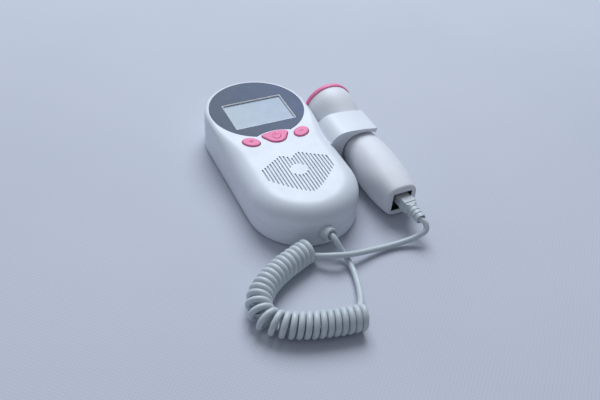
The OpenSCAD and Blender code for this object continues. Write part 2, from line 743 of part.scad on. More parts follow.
// A grooved plug through the wall, and outside it a soft cone that leans with the cord
module cord_gland() {
    color(grey) {
        translate([0, gland_root + 3.75, gland_z]) rotate([90, 0, 0]) rotate_extrude($fn = 48)
            polygon([[0, 0], [5, 0], [5, 1], [gland_neck_r - 0.05, 1], [gland_neck_r - 0.05, 4.5], [0, 4.5]]);
        intersection() {
            at_gland() rotate_extrude($fn = 48) polygon([[0, -2], [4.7, -2], [4.7, 1], [4.4, 2.6],
                [3.5, 4.9], [3.2, 5.3], [2.8, gland_l], [1.9, gland_l], [1.9, gland_l - 0.8],
                [0, gland_l - 0.8]]);
            translate([-body_w / 2, gland_root - body_h, 0]) cube([body_w, body_h - 0.05, body_h]);
        }
    }
}
module cord_lead() { color(grey) tube(lead_route, cord_r, 8); }
module cord_coil() { color(grey) tube(coil_route, coil_r, 12); }
module cord_tail() { color(grey) tube(tail_route, cord_r, 8); }

// ---------------------------------------------------------------- plug, in the probe's frame

plug_w = 7.7;
plug_h = 6.6;
plug_in = 12;                             // how far the clear housing goes into the probe
plug_out = 0.8;                           // and how far it stands out of it
plug_yaw = 3;                             // the plug sits a little askew in its socket
plug_lift = 1.7;
boot_l = 7;
boot_w = 8.8;
boot_h = 8.4;
neck_l = 10.6;

// Places a piece given in the plug's own frame: y towards the probe, 0 at the probe's end face
module at_plug() { at_probe() translate([0.2, probe_end, plug_lift]) rotate(plug_yaw) children(); }

module plug_boot() {
    color(grey) at_plug() translate([0, -plug_out, 0]) rotate([90, 0, 0]) {
        translate([-boot_w / 2, -boot_h / 2, 0]) cube([boot_w, boot_h, boot_l]);
        rotate_extrude($fn = 48) polygon([[0, boot_l - 0.5], [4.1, boot_l - 0.5], [4.1, boot_l + 1.7],
            [3.3, boot_l + 2.1], [3.3, boot_l + 2.8], [3.9, boot_l + 3.2], [3.9, boot_l + 4.5],
            [3.1, boot_l + 4.9], [3.1, boot_l + 5.6], [3.7, boot_l + 6], [3.7, boot_l + 7.3],
            [2.9, boot_l + 7.7], [2.9, boot_l + 8.4], [3.5, boot_l + 8.8], [3.5, boot_l + neck_l - 0.4],
            [3.1, boot_l + neck_l], [2.1, boot_l + neck_l], [2.1, boot_l + neck_l - 1],
            [0, boot_l + neck_l - 1]]);
    }
}
module plug_housing() {
    color("#E8E6D8") at_plug() {
        translate([-plug_w / 2, -plug_out, -plug_h / 2]) cube([plug_w, plug_in + plug_out, plug_h]);
        translate([-1.6, 1.5, -plug_h / 2 - 1.5]) cube([3.2, 8, 0.9]);
        translate([-1.6, 8.6, -plug_h / 2 - 1.5]) cube([3.2, 0.9, 1.5 + eps]);
    }
}
module plug_contacts() {
    color("#D8B04A") at_plug() for (i = [0 : 3])
        translate([-2.1 + 1.27 * i, plug_in, -0.2]) cube([0.35, 0.6, 2.6]);
}

// ---------------------------------------------------------------- probe

socket_in = 17;
module socket_cut() {
    translate([-socket_w / 2, probe_end - 1, -socket_h / 2]) cube([socket_w, socket_in + 1, socket_h]);
}
module probe_shell(up) {
    color("#E4E4E6") at_probe() intersection() {
        difference() {
            probe_form();
            probe_hollow();
            socket_cut();
        }
        translate([-body_w / 2, probe_end - 1, up > 0 ? 0 : -body_w]) cube([body_w, body_l, body_w]);
    }
}
module probe_top_shell() { probe_shell(1); }
module probe_bottom_shell() { probe_shell(-1); }

ring_l = 2.6;
lens_r = head_r - 1.4;
spigot_r = head_r - probe_wall - 0.5;     // the lens's skirt stands inside the two shells
module head_ring() {
    color(pink) at_probe() translate([0, head_start, 0]) rotate([-90, 0, 0])
        rotate_extrude($fn = 96) polygon([[lens_r + 0.05, 0], [head_r, 0], [head_r + 0.05, 0.5],
            [head_r, ring_l - 0.8], [head_r - 0.7, ring_l], [lens_r + 0.05, ring_l]]);
}
module transducer_lens() {
    color("#DADCE0") at_probe() translate([0, head_start, 0]) rotate([-90, 0, 0])
        rotate_extrude($fn = 96) polygon([[0, 1.2], [spigot_r - spigot_t, 1.2], [spigot_r - spigot_t, -1.6],
            [spigot_r, -1.6], [spigot_r, 0], [lens_r, 0], [lens_r, ring_l - 0.2], [lens_r * 0.75, ring_l + 1],
            [lens_r * 0.4, ring_l + 1.8], [0, ring_l + 2]]);
}
spigot_t = 1;
backing_r = spigot_r - spigot_t - 1.3;
backing_t = 4;
crystal_r = backing_r - 2;
crystal_t = 1;
module transducer_crystals() {
    color("#C9B48C") at_probe() translate([0, head_start + 1.2 - crystal_t, 0]) rotate([-90, 0, 0])
        for (side = [0, 1]) rotate(180 * side) intersection() {
            cylinder(r = crystal_r, h = crystal_t, $fn = 64);
            translate([-crystal_r, 0.4, -1]) cube([2 * crystal_r, crystal_r, 3]);
        }
}
module transducer_backing() {
    color("#5A5148") at_probe() translate([0, head_start + 1.2 - crystal_t - backing_t, 0])
        rotate([-90, 0, 0]) cylinder(r = backing_r, h = backing_t, $fn = 64);
}
module probe_pcb() {
    color("#2E6B45") at_probe() translate([-6, probe_end + socket_in + 0.4, -0.8])
        cube([12, head_start - 4 - probe_end - socket_in - 0.4, 1.6]);
}
// Moulded block that fills the opening, with a bore for the plug and a groove for its latch
module probe_socket() {
    bore_w = plug_w + plug_in * sin(plug_yaw) + 0.6;
    color("#17181A") at_probe() difference() {
        translate([-socket_w / 2 + 0.1, probe_end + 3, -socket_h / 2 + 0.1])
            cube([socket_w - 0.2, socket_in - 3 - 0.1, socket_h - 0.2]);
        translate([0.2 - bore_w / 2, probe_end + 2, plug_lift - plug_h / 2 - 0.3])
            cube([bore_w, plug_in, plug_h + 0.6]);
        translate([0.2 - 2.3, probe_end + 2, plug_lift - plug_h / 2 - 1.9])
            cube([4.6, plug_in, 2.4]);
    }
}
module socket_contacts() {
    color("#D8B04A") at_probe() for (i = [0 : 3])
        translate([-1.9 + 1.27 * i, probe_end + plug_in + 2, plug_lift])
            cube([0.4, socket_in - plug_in - 1.6, 0.4]);
}

// ---------------------------------------------------------------- the assembly

front_shell();
rear_shell();
face_panel();
lcd_glass();
lcd_backlight();
lcd_bezel();
main_pcb();
tact_switches();
power_button();
volume_up_button();
volume_down_button();
power_switch_stem();
volume_up_stem();
volume_down_stem();
speaker_frame();
speaker_cone();
speaker_magnet();
battery_cover();
batteries();
battery_springs();
battery_plates();
headphone_jack();
case_screws();
pcb_screws();
cord_gland();
cord_lead();
cord_coil();
cord_tail();
plug_boot();
plug_housing();
plug_contacts();
probe_clip();
probe_top_shell();
probe_bottom_shell();
head_ring();
transducer_lens();
transducer_crystals();
transducer_backing();
probe_pcb();
probe_socket();
socket_contacts();
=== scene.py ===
import bpy
import numpy as np
from mathutils import Matrix


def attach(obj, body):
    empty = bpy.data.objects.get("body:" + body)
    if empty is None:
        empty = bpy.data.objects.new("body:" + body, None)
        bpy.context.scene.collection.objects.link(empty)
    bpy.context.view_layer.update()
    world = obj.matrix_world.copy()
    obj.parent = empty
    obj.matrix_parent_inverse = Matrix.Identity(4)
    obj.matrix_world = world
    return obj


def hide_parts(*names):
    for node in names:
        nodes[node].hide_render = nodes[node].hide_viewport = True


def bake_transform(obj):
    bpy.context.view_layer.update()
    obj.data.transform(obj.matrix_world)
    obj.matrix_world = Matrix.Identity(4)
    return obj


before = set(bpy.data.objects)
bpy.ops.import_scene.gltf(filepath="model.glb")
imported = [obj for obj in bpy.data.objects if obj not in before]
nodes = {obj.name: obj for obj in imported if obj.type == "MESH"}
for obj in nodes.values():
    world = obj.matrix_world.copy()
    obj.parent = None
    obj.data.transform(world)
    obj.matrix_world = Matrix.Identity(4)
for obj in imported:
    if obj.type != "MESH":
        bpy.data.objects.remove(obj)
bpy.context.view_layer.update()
mm = 0.001  # every shape below is worked out in millimetres and becomes metres in asObject
print("frame loaded with", len(nodes), "nodes")


# small tools

def ease(t):
    # smooth step from 0 to 1: 3t^2 - 2t^3
    t = np.clip(t, 0.0, 1.0)
    return t * t * (3 - 2 * t)


def unitRows(v):
    return v / np.linalg.norm(v, axis=-1, keepdims=True)


def turn(axis, degrees):
    # 3x3 rotation about x, y or z
    a = np.radians(degrees)
    c, s = np.cos(a), np.sin(a)
    i = "xyz".index(axis)
    m = np.eye(3)
    j, k = (i + 1) % 3, (i + 2) % 3
    m[j, j], m[j, k], m[k, j], m[k, k] = c, -s, s, c
    return m


def loft(rings, lowCap=True, highCap=True):
    # quads between neighbouring rings, each ring anticlockwise seen from the last one
    rings = np.asarray(rings, float)
    m, n = rings.shape[:2]
    i = np.arange(n)
    k = (i + 1) % n
    base = np.arange(m - 1)[:, None] * n
    quads = np.stack([base + i, base + k, base + n + k, base + n + i], -1).reshape(-1, 4).tolist()
    if lowCap:
        quads.append(i[::-1].tolist())
    if highCap:
        quads.append(((m - 1) * n + i).tolist())
    return rings.reshape(-1, 3), quads


def hoop(rings):
    # rings that close on themselves, such as a window frame, so there are no caps
    rings = np.asarray(rings, float)
    m, n = rings.shape[:2]
    i = np.arange(n)
    k = (i + 1) % n
    base = np.arange(m)[:, None] * n
    after = (base + n) % (m * n)
    quads = np.stack([base + i, base + k, after + k, after + i], -1).reshape(-1, 4).tolist()
    return rings.reshape(-1, 3), quads


def gather(forms):
    # several closed forms as one set of points and faces
    points, faces, start = [], [], 0
    for p, f in forms:
        points.append(p)
        faces += [[v + start for v in face] for face in f]
        start += len(p)
    return np.vstack(points), faces


def moved(form, matrix=None, offset=(0, 0, 0)):
    points, faces = form
    if matrix is not None:
        points = points @ np.asarray(matrix).T
    return points + np.asarray(offset, float), faces


def shadeByAngle(obj, degrees):
    obj.data.polygons.foreach_set("use_smooth", np.ones(len(obj.data.polygons), bool))
    obj.data.set_sharp_from_angle(angle=np.radians(degrees))


def asObject(name, form, angle=40):
    points, faces = form
    mesh = bpy.data.meshes.new(name)
    mesh.from_pydata((points * mm).tolist(), [], faces)
    mesh.update()
    obj = bpy.data.objects.new(name, mesh)
    bpy.context.scene.collection.objects.link(obj)
    shadeByAngle(obj, angle)
    return obj


def settle(target):
    # modifiers become the mesh
    graph = bpy.context.evaluated_depsgraph_get()
    made = bpy.data.meshes.new_from_object(target.evaluated_get(graph))
    old, name = target.data, target.data.name
    target.modifiers.clear()
    target.data = made
    bpy.data.meshes.remove(old)
    made.name = name


def carve(target, form, operation="DIFFERENCE"):
    # boolean with a closed form, made final in the mesh
    cutter = asObject("cutter", form)
    step = target.modifiers.new("carve", "BOOLEAN")
    step.operation, step.object, step.solver = operation, cutter, "EXACT"
    settle(target)
    cutterMesh = cutter.data
    bpy.data.objects.remove(cutter)
    bpy.data.meshes.remove(cutterMesh)


def evenNormals(obj):
    # flat faces keep flat shading beside their roundings
    step = obj.modifiers.new("even normals", "WEIGHTED_NORMAL")
    step.keep_sharp = True
    step.weight = 60


def arc(cx, cy, r, a0, a1, n):
    # n + 1 points on a circle from angle a0 to a1, in degrees
    a = np.radians(np.linspace(a0, a1, n + 1))
    return np.stack([cx + r * np.cos(a), cy + r * np.sin(a)], -1)


def around(n):
    # n even angles round a circle, in radians
    return np.radians(np.arange(n) * 360 / n)


def superEllipse(w, h, power, a):
    # rounded square, |x / w|^power + |y / h|^power = 1, at the angles a; a circle where power is 2
    c, s = np.cos(a), np.sin(a)
    e = 2 / power
    return np.column_stack([w * np.sign(c) * np.abs(c) ** e, h * np.sign(s) * np.abs(s) ** e])


def roundedBox(w, h, r, n=6):
    # outline of a rectangle with rounded corners, anticlockwise about the origin
    r = min(r, w / 2 - 0.001, h / 2 - 0.001)
    x, y = w / 2 - r, h / 2 - r
    return np.vstack([arc(x, y, r, 0, 90, n), arc(-x, y, r, 90, 180, n),
                      arc(-x, -y, r, 180, 270, n), arc(x, -y, r, 270, 360, n)])


def flatRing(outline, z):
    return np.column_stack([outline, np.full(len(outline), float(z))])


def prism(outline, z0, z1):
    return loft([flatRing(outline, z0), flatRing(outline, z1)])


def well(outlineAt, z0, z1, lip):
    # a cutter for a hole with a rounded edge: its sides flare by a quarter circle of radius lip under z1
    rings = [flatRing(outlineAt(0), z0)]
    for a in np.radians(np.linspace(0, 90, 5)):
        rings.append(flatRing(outlineAt(lip * (1 - np.cos(a))), z1 - lip + lip * np.sin(a) + 0.002))
    rings.append(flatRing(outlineAt(lip + 0.01), z1 + 1))
    return loft(rings)


def pillow(outlineAt, z0, z1, edge, crown, rows=10, inner=44):
    # a cap: straight sides, a quarter-round edge, then rings that shrink to the middle over a low dome
    rings = [flatRing(outlineAt(0), z0), flatRing(outlineAt(0), z1 - edge)]
    for a in np.radians(np.linspace(0, 90, rows))[1:]:
        rings.append(flatRing(outlineAt(-edge * (1 - np.cos(a))), z1 - edge + edge * np.sin(a)))
    last = rings[-1]
    middle = last[:, :2].mean(0)
    for t in np.linspace(0, 1, inner)[1:-1]:
        ring = last.copy()
        ring[:, :2] = middle + (last[:, :2] - middle) * (1 - t)
        ring[:, 2] = z1 + crown * (1 - (1 - t) ** 2)
        rings.append(ring)
    return loft(rings)


def lathe(profile, n=96):
    # profile rows are (radius, height) about the local z axis, from the low cap to the high cap
    a = around(n)
    return loft([np.column_stack([max(r, 0.02) * np.cos(a), max(r, 0.02) * np.sin(a), np.full(n, float(z))])
                 for r, z in profile])


def facing(back):
    # rows right, up and back of a camera or lamp that looks along -back and stands level
    right = np.cross([0, 0, 1], back)
    right = right / np.linalg.norm(right)
    return np.array([right, np.cross(back, right), back])


def addAt(obj, axes, place):
    # into the scene, with its own axes given as rows and its place in metres
    matrix = np.eye(4)
    matrix[:3, :3], matrix[:3, 3] = axes.T, place
    bpy.context.scene.collection.objects.link(obj)
    obj.matrix_world = Matrix(matrix.tolist())


# camera

cameraSetup = {"turn": -27.0, "rise": 40.7, "roll": -4.0, "distance": 475.6, "target": (3.24, -27.0, 0.0),
               "focal": 800.0, "frameWidth": 600.0, "sensor": 36.0}


def makeCamera():
    c = cameraSetup
    a, e = np.radians([c["turn"], c["rise"]])
    back = np.array([np.sin(a) * np.cos(e), -np.cos(a) * np.cos(e), np.sin(e)])
    data = bpy.data.cameras.new("camera")
    data.sensor_width = c["sensor"]
    data.lens = c["sensor"] * c["focal"] / c["frameWidth"]
    data.clip_start = 0.01
    camera = bpy.data.objects.new("camera", data)
    addAt(camera, turn("z", c["roll"]) @ facing(back), (np.array(c["target"]) + back * c["distance"]) * mm)
    bpy.context.scene.camera = camera


makeCamera()
print("camera set")


# materials; a noise is written as (size in mm, detail, roughness)

def rgb(hexColour):
    # sRGB hex to linear values
    c = np.array([int(hexColour[i:i + 2], 16) for i in (1, 3, 5)]) / 255
    c = np.where(c <= 0.04045, c / 12.92, ((c + 0.055) / 1.055) ** 2.4)
    return (*c.tolist(), 1.0)


def addNode(tree, kind, inputs=None, output=0, **settings):
    # a node with its settings; each input is a socket to link, a hex colour or a value
    node = tree.nodes.new(kind)
    for key, value in settings.items():
        setattr(node, key, value)
    for key, value in (inputs or {}).items():
        if isinstance(value, bpy.types.NodeSocket):
            tree.links.new(value, node.inputs[key])
        else:
            node.inputs[key].default_value = rgb(value) if isinstance(value, str) else value
    return node if output is None else node.outputs[output]


def startMaterial(name, **shader):
    # a material with its shader's own values; patterns read Object coordinates, in metres
    material = bpy.data.materials.new(name)
    material.use_nodes = True
    tree = material.node_tree
    tree.nodes.clear()
    values = {key.replace("_", " "): value for key, value in shader.items()}
    surface = addNode(tree, "ShaderNodeBsdfPrincipled", values)
    addNode(tree, "ShaderNodeOutputMaterial", {"Surface": surface}, None)
    return material, tree, addNode(tree, "ShaderNodeTexCoord", output="Object")


def finishMaterial(material, colour, roughness=None, normal=None):
    # links the patterns to the shader
    tree = material.node_tree
    shader = next(node for node in tree.nodes if node.type == "BSDF_PRINCIPLED")
    for key, socket in (("Base Color", colour), ("Roughness", roughness), ("Normal", normal)):
        if socket is not None:
            tree.links.new(socket, shader.inputs[key])
    return material


def patches(tree, coords, noise, a, b, low=0.3, high=0.7):
    # noise whose values from low to high become a to b
    sizeMm, detail, rough = noise
    cloud = addNode(tree, "ShaderNodeTexNoise",
                    {"Vector": coords, "Scale": 1000 / sizeMm, "Detail": detail, "Roughness": rough})
    return addNode(tree, "ShaderNodeMapRange",
                   {"Value": cloud, "From Min": low, "From Max": high, "To Min": a, "To Max": b})


def mottle(tree, coords, colour, other, noise, most=1, low=0.3, high=0.7):
    # patches in which the colour goes over to the other by up to the share most
    share = patches(tree, coords, noise, 0, most, low, high)
    return addNode(tree, "ShaderNodeMix", {0: share, 6: colour, 7: other}, 2, data_type="RGBA")


def grain(tree, coords, noise, strength, depthMm, **under):
    # bumps depthMm high, over those given as Normal
    sizeMm, detail, rough = noise
    height = addNode(tree, "ShaderNodeTexNoise",
                     {"Vector": coords, "Scale": 1000 / sizeMm, "Detail": detail, "Roughness": rough})
    return addNode(tree, "ShaderNodeBump",
                   {"Height": height, "Strength": strength, "Distance": depthMm * mm, **under})


def fromSideToSide(tree, coords, halfWidth, left, right):
    # one colour at x = -halfWidth that goes over to another at +halfWidth, in metres
    x = addNode(tree, "ShaderNodeSeparateXYZ", {0: coords})
    share = addNode(tree, "ShaderNodeMapRange", {"Value": x, "From Min": -halfWidth, "From Max": halfWidth})
    return addNode(tree, "ShaderNodeMix", {0: share, 6: left, 7: right}, 2, data_type="RGBA")


def checks(tree, coords, sizeMm, colour, other, most):
    # squares in which the colour goes over to the other by the share most; gives back the squares too
    squares = addNode(tree, "ShaderNodeTexChecker", {"Vector": coords, "Scale": 1000 / sizeMm}, "Fac")
    share = addNode(tree, "ShaderNodeMapRange", {"Value": squares, "To Max": most})
    return addNode(tree, "ShaderNodeMix", {0: share, 6: colour, 7: other}, 2, data_type="RGBA"), squares


def mouldedPlastic(name, base, dull, rough, grainMm, grainDepth, **shader):
    # injection-moulded plastic: a fine spark-eroded grain, faint flow clouds in the colour and
    # handled patches where the grain is a little smoother
    material, tree, coords = startMaterial(name, **{"IOR": 1.5, **shader})
    colour = mottle(tree, coords, base, dull, (24, 3, 0.55))
    colour = mottle(tree, coords, colour, dull, (1.1, 2, 0.7), 0.35, 0.62, 0.8)  # dust
    handled = patches(tree, coords, (9, 4, 0.6), rough - 0.05, rough + 0.05)
    waves = grain(tree, coords, (14, 1, 0.4), 0.25, 0.12)
    return finishMaterial(material, colour, handled,
                          grain(tree, coords, (grainMm, 2, 0.6), 0.5, grainDepth, Normal=waves))


def shellWhite():
    # satin ABS of the monitor's case: cool white, soft wide highlights
    return mouldedPlastic("satinWhiteAbs", "#E9EDF3", "#E2E7EE", 0.42, 0.4, 0.015)


def probeWhite():
    # the probe's ABS has a coarser grain, so its highlights are wider and duller than the case's
    return mouldedPlastic("grainedWhiteAbs", "#ECEDF1", "#E4E5EA", 0.5, 0.45, 0.03)


def frameWhite():
    # unpainted milky ABS round the display: light comes a few millimetres through it; its base is whiter than
    # the case's as painted light on its shaded walls
    return mouldedPlastic("milkyAbs", "#F4F7FB", "#E9EDF3", 0.4, 0.5, 0.01, Subsurface_Weight=0.8,
                          Subsurface_Radius=(0.003, 0.003, 0.003), Subsurface_Scale=1.0)


def pinkRubber():
    # silicone keypad rubber: matt skin, colour that glows a little through thin edges, lint specks;
    # the raised symbols show as slightly deeper pink from the piece's own attribute
    material, tree, coords = startMaterial(
        "pinkSiliconeRubber", IOR=1.41, Subsurface_Weight=0.15,
        Subsurface_Radius=(0.0012, 0.0004, 0.0005), Subsurface_Scale=1.0)
    colour = mottle(tree, coords, "#FF8DB8", "#FB80AF", (5, 3, 0.6))
    mark = addNode(tree, "ShaderNodeAttribute", output="Fac", attribute_name="mark")
    colour = addNode(tree, "ShaderNodeMix", {0: mark, 6: colour, 7: "#D2578A"}, 2, data_type="RGBA")
    colour = mottle(tree, coords, colour, "#F7C4D8", (0.25, 1, 0.5), 0.3, 0.72, 0.8)
    return finishMaterial(material, colour, patches(tree, coords, (2.5, 3, 0.6), 0.4, 0.55),
                          grain(tree, coords, (0.2, 2, 0.6), 0.4, 0.012))


def panelAcrylic():
    # hard-coated acrylic, back-printed slate: a mottled print, fine wipe marks and dust; greyer on its
    # -x side and bluer on the other as painted reflection
    material, tree, coords = startMaterial("printedAcrylic", IOR=1.49, Specular_IOR_Level=0.15)
    # painted reflection: greyer at -x, bluer and a little lighter at +x
    colour = fromSideToSide(tree, coords, 0.027, "#5D6774", "#5F6C87")
    colour = mottle(tree, coords, colour, "#566177", (16, 2, 0.5), 0.5)
    colour = mottle(tree, coords, colour, "#8E97A5", (0.7, 1, 0.6), 0.25, 0.7, 0.8)
    return finishMaterial(material, colour, patches(tree, coords, (9, 4, 0.65), 0.44, 0.52))


def displayGlass():
    # idle reflective display: pale grey-green behind a matt polariser, with faint pixels at 0.5 mm
    # (real ones are finer than the render shows)
    material, tree, coords = startMaterial("displayPolariser", IOR=1.5, Specular_IOR_Level=0.3)
    # painted reflection: greener at -x, bluer at +x
    colour = fromSideToSide(tree, coords, 0.022, "#ABBBC2", "#A8B7CB")
    colour = mottle(tree, coords, colour, "#AFBCC6", (12, 2, 0.5), 0.35)
    colour = checks(tree, coords, 0.5, colour, "#84949F", 0.06)[0]
    return finishMaterial(material, colour, patches(tree, coords, (4, 3, 0.6), 0.28, 0.38))


def grilleCloth():
    # woven acoustic cloth: threads 0.4 mm apart both ways, matt and light grey
    material, tree, coords = startMaterial("wovenAcousticCloth", Roughness=0.85)
    colour, threads = checks(tree, coords, 0.4, "#DDE0E5", "#C9CDD4", 0.4)
    colour = mottle(tree, coords, colour, "#BDC1C8", (6, 3, 0.6), 0.25)
    weave = addNode(tree, "ShaderNodeBump", {"Height": threads, "Strength": 0.4, "Distance": 0.05 * mm})
    return finishMaterial(material, colour, None, weave)


def cordPvc():
    # plasticised PVC jacket: light grey and satin, a little grimy, with fine pimples
    material, tree, coords = startMaterial("greyPvcJacket", IOR=1.53)
    colour = mottle(tree, coords, "#D1D8DC", "#C8D0D4", (8, 3, 0.6))
    colour = mottle(tree, coords, colour, "#B5BEC2", (1.4, 3, 0.7), 0.3, 0.6, 0.8)
    return finishMaterial(material, colour, patches(tree, coords, (3, 3, 0.6), 0.36, 0.5),
                          grain(tree, coords, (0.4, 2, 0.6), 0.5, 0.02))


def clearPlug():
    # polycarbonate with the boot behind it: milky clear, with cloudy flow lines inside
    material, tree, coords = startMaterial("clearPolycarbonate", IOR=1.58, Transmission_Weight=0.35)
    colour = mottle(tree, coords, "#E8EAEC", "#DADCDD", (2.5, 3, 0.6))
    return finishMaterial(material, colour, patches(tree, coords, (1.2, 3, 0.6), 0.08, 0.25),
                          grain(tree, coords, (1.8, 2, 0.5), 0.3, 0.05))


def brushedMetal(name, base, dark, rough, axisScale=(1, 12, 12)):
    # drawn or rolled metal: fine lines along one way and a few dull spots
    material, tree, coords = startMaterial(name, Metallic=1.0)
    lines = addNode(tree, "ShaderNodeMapping", {"Vector": coords, "Scale": axisScale})
    streak = (3, 4, 0.65)
    return finishMaterial(material, mottle(tree, lines, base, dark, streak),
                          patches(tree, lines, streak, rough - 0.08, rough + 0.1),
                          grain(tree, lines, streak, 0.3, 0.01))


def circuitBoard():
    # green solder mask over copper: traces show as lighter lines under the mask
    material, tree, coords = startMaterial("greenSolderMask", IOR=1.5, Coat_Weight=0.3)
    cells = addNode(tree, "ShaderNodeTexVoronoi", {"Vector": coords, "Scale": 260.0, "Randomness": 0.4},
                    "Distance", distance="MANHATTAN", feature="DISTANCE_TO_EDGE")
    trace = addNode(tree, "ShaderNodeMapRange",
                    {"Value": cells, "From Min": 0.02, "From Max": 0.06, "To Min": 1, "To Max": 0})
    colour = addNode(tree, "ShaderNodeMix", {0: trace, 6: "#1E5B38", 7: "#2F7A4C"}, 2, data_type="RGBA")
    colour = mottle(tree, coords, colour, "#17482D", (7, 3, 0.6), 0.4)
    relief = addNode(tree, "ShaderNodeBump", {"Height": trace, "Strength": 0.4, "Distance": 0.03 * mm})
    return finishMaterial(material, colour, patches(tree, coords, (2, 2, 0.5), 0.25, 0.4), relief)


def cellWrap():
    # shrink-wrapped battery cells: bands across each cell with a satin film
    bands = ((0.0, "#B9BEC3"), (0.04, "#33404C"), (0.74, "#3A4855"), (0.78, "#C08A3E"), (0.97, "#B9813A"),
             (1.0, "#C9CED2"))
    material, tree, coords = startMaterial("shrinkWrapFilm", IOR=1.5, Coat_Weight=0.4, Coat_Roughness=0.15)
    y = addNode(tree, "ShaderNodeSeparateXYZ", {0: coords}, 1)
    along = addNode(tree, "ShaderNodeMapRange", {"Value": y, "From Min": -0.0545, "From Max": -0.0075})
    ramp = addNode(tree, "ShaderNodeValToRGB", {0: along}, None)
    stops = ramp.color_ramp.elements
    while len(stops) < len(bands):
        stops.new(0.5)
    for stop, (place, colour) in zip(stops, bands):
        stop.position, stop.color = place, rgb(colour)
    colour = mottle(tree, coords, ramp.outputs[0], "#20272E", (5, 3, 0.6), 0.3)
    return finishMaterial(material, colour, patches(tree, coords, (3, 3, 0.6), 0.25, 0.4),
                          grain(tree, coords, (1.5, 2, 0.6), 0.3, 0.03))


def paperCone():
    # pressed paper pulp of the loudspeaker: matt grey fibres
    material, tree, coords = startMaterial("pressedPaper", Roughness=0.85)
    drawn = addNode(tree, "ShaderNodeMapping", {"Vector": coords, "Scale": (1, 3, 1)})
    fibre = (0.8, 4, 0.7)
    return finishMaterial(material, mottle(tree, drawn, "#5E6369", "#74797F", fibre), None,
                          grain(tree, drawn, fibre, 0.6, 0.08))


finishes = {
    "case": shellWhite(), "probe": probeWhite(), "pink": pinkRubber(), "panel": panelAcrylic(),
    "display": displayGlass(), "cloth": grilleCloth(), "cord": cordPvc(), "clear": clearPlug(),
    "black": mouldedPlastic("blackNylon", "#17191C", "#202327", 0.45, 0.4, 0.03, IOR=1.53),
    "lens": mouldedPlastic("acousticLensPlastic", "#D9DCE2", "#CDD1D8", 0.35, 0.6, 0.01),
    "backing": mouldedPlastic("filledEpoxy", "#5A5148", "#4A433C", 0.7, 0.8, 0.06),
    "frame": frameWhite(),
    "diffuser": mouldedPlastic("milkyDiffuser", "#EEF0EE", "#E2E6E6", 0.4, 0.5, 0.01),
    "board": circuitBoard(), "wrap": cellWrap(), "paper": paperCone(),
    "steel": brushedMetal("zincPlatedSteel", "#B9BEC3", "#8E949A", 0.32),
    "spring": brushedMetal("nickelPlatedWire", "#C9CDD1", "#9EA3A8", 0.25),
    "ferrite": brushedMetal("platedMagnetSteel", "#9BA0A5", "#7C8287", 0.38, (6, 6, 1)),
    "gold": brushedMetal("goldFlashedContact", "#D9AE50", "#B88D38", 0.25),
    "ceramic": mouldedPlastic("firedCeramic", "#D2BF97", "#C3AE84", 0.6, 0.5, 0.04)}

nodesByFinish = {
    "case": "front_shell rear_shell battery_cover probe_clip", "panel": "face_panel", "display": "lcd_glass",
    "diffuser": "lcd_backlight", "board": "main_pcb probe_pcb",
    "black": "lcd_bezel tact_switches power_switch_stem volume_up_stem volume_down_stem headphone_jack "
             "probe_socket",
    "pink": "power_button volume_up_button volume_down_button head_ring",
    "steel": "speaker_frame case_screws pcb_screws", "paper": "speaker_cone", "ferrite": "speaker_magnet",
    "wrap": "batteries", "spring": "battery_springs battery_plates",
    "cord": "cord_gland cord_lead cord_coil cord_tail plug_boot", "clear": "plug_housing",
    "gold": "plug_contacts socket_contacts", "probe": "probe_top_shell probe_bottom_shell",
    "lens": "transducer_lens", "ceramic": "transducer_crystals", "backing": "transducer_backing"}


def dress(obj, finish):
    obj.data.materials.clear()
    obj.data.materials.append(finishes[finish])


def enlist(piece, finish, body, slotName, *replaced):
    # its finish, the body it moves with, a slot name that is not used, and the CAD nodes it stands for
    dress(piece, finish)
    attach(piece, body)
    if replaced:
        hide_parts(*replaced)


for finish, names in nodesByFinish.items():
    for nodeName in names.split():
        for slot in nodes[nodeName].material_slots:
            slot.material = finishes[finish]
print("materials made")


# places of the probe, the plug and the gland, as in the part's source

placeForm = {"probeYaw": 1.1, "probePitch": 2.9, "probeAt": (50.4, 0.0, 15.0),
             "plugYaw": 3.0, "plugInProbe": (0.2, -61.0, 1.7),
             "glandYaw": 14.0, "glandPitch": 76.0, "glandAt": (0.0, -67.5, 10.5)}
probeTurn = turn("z", placeForm["probeYaw"]) @ turn("x", placeForm["probePitch"])
probeSpot = np.array(placeForm["probeAt"])
plugTurn = probeTurn @ turn("z", placeForm["plugYaw"])
plugSpot = probeSpot + probeTurn @ np.array(placeForm["plugInProbe"])
glandTurn = turn("z", placeForm["glandYaw"]) @ turn("x", placeForm["glandPitch"])
glandSpot = np.array(placeForm["glandAt"])
lengthwise = turn("x", -90)  # a local z axis laid along +y


# the cord: lead, coil and tail in one jacket

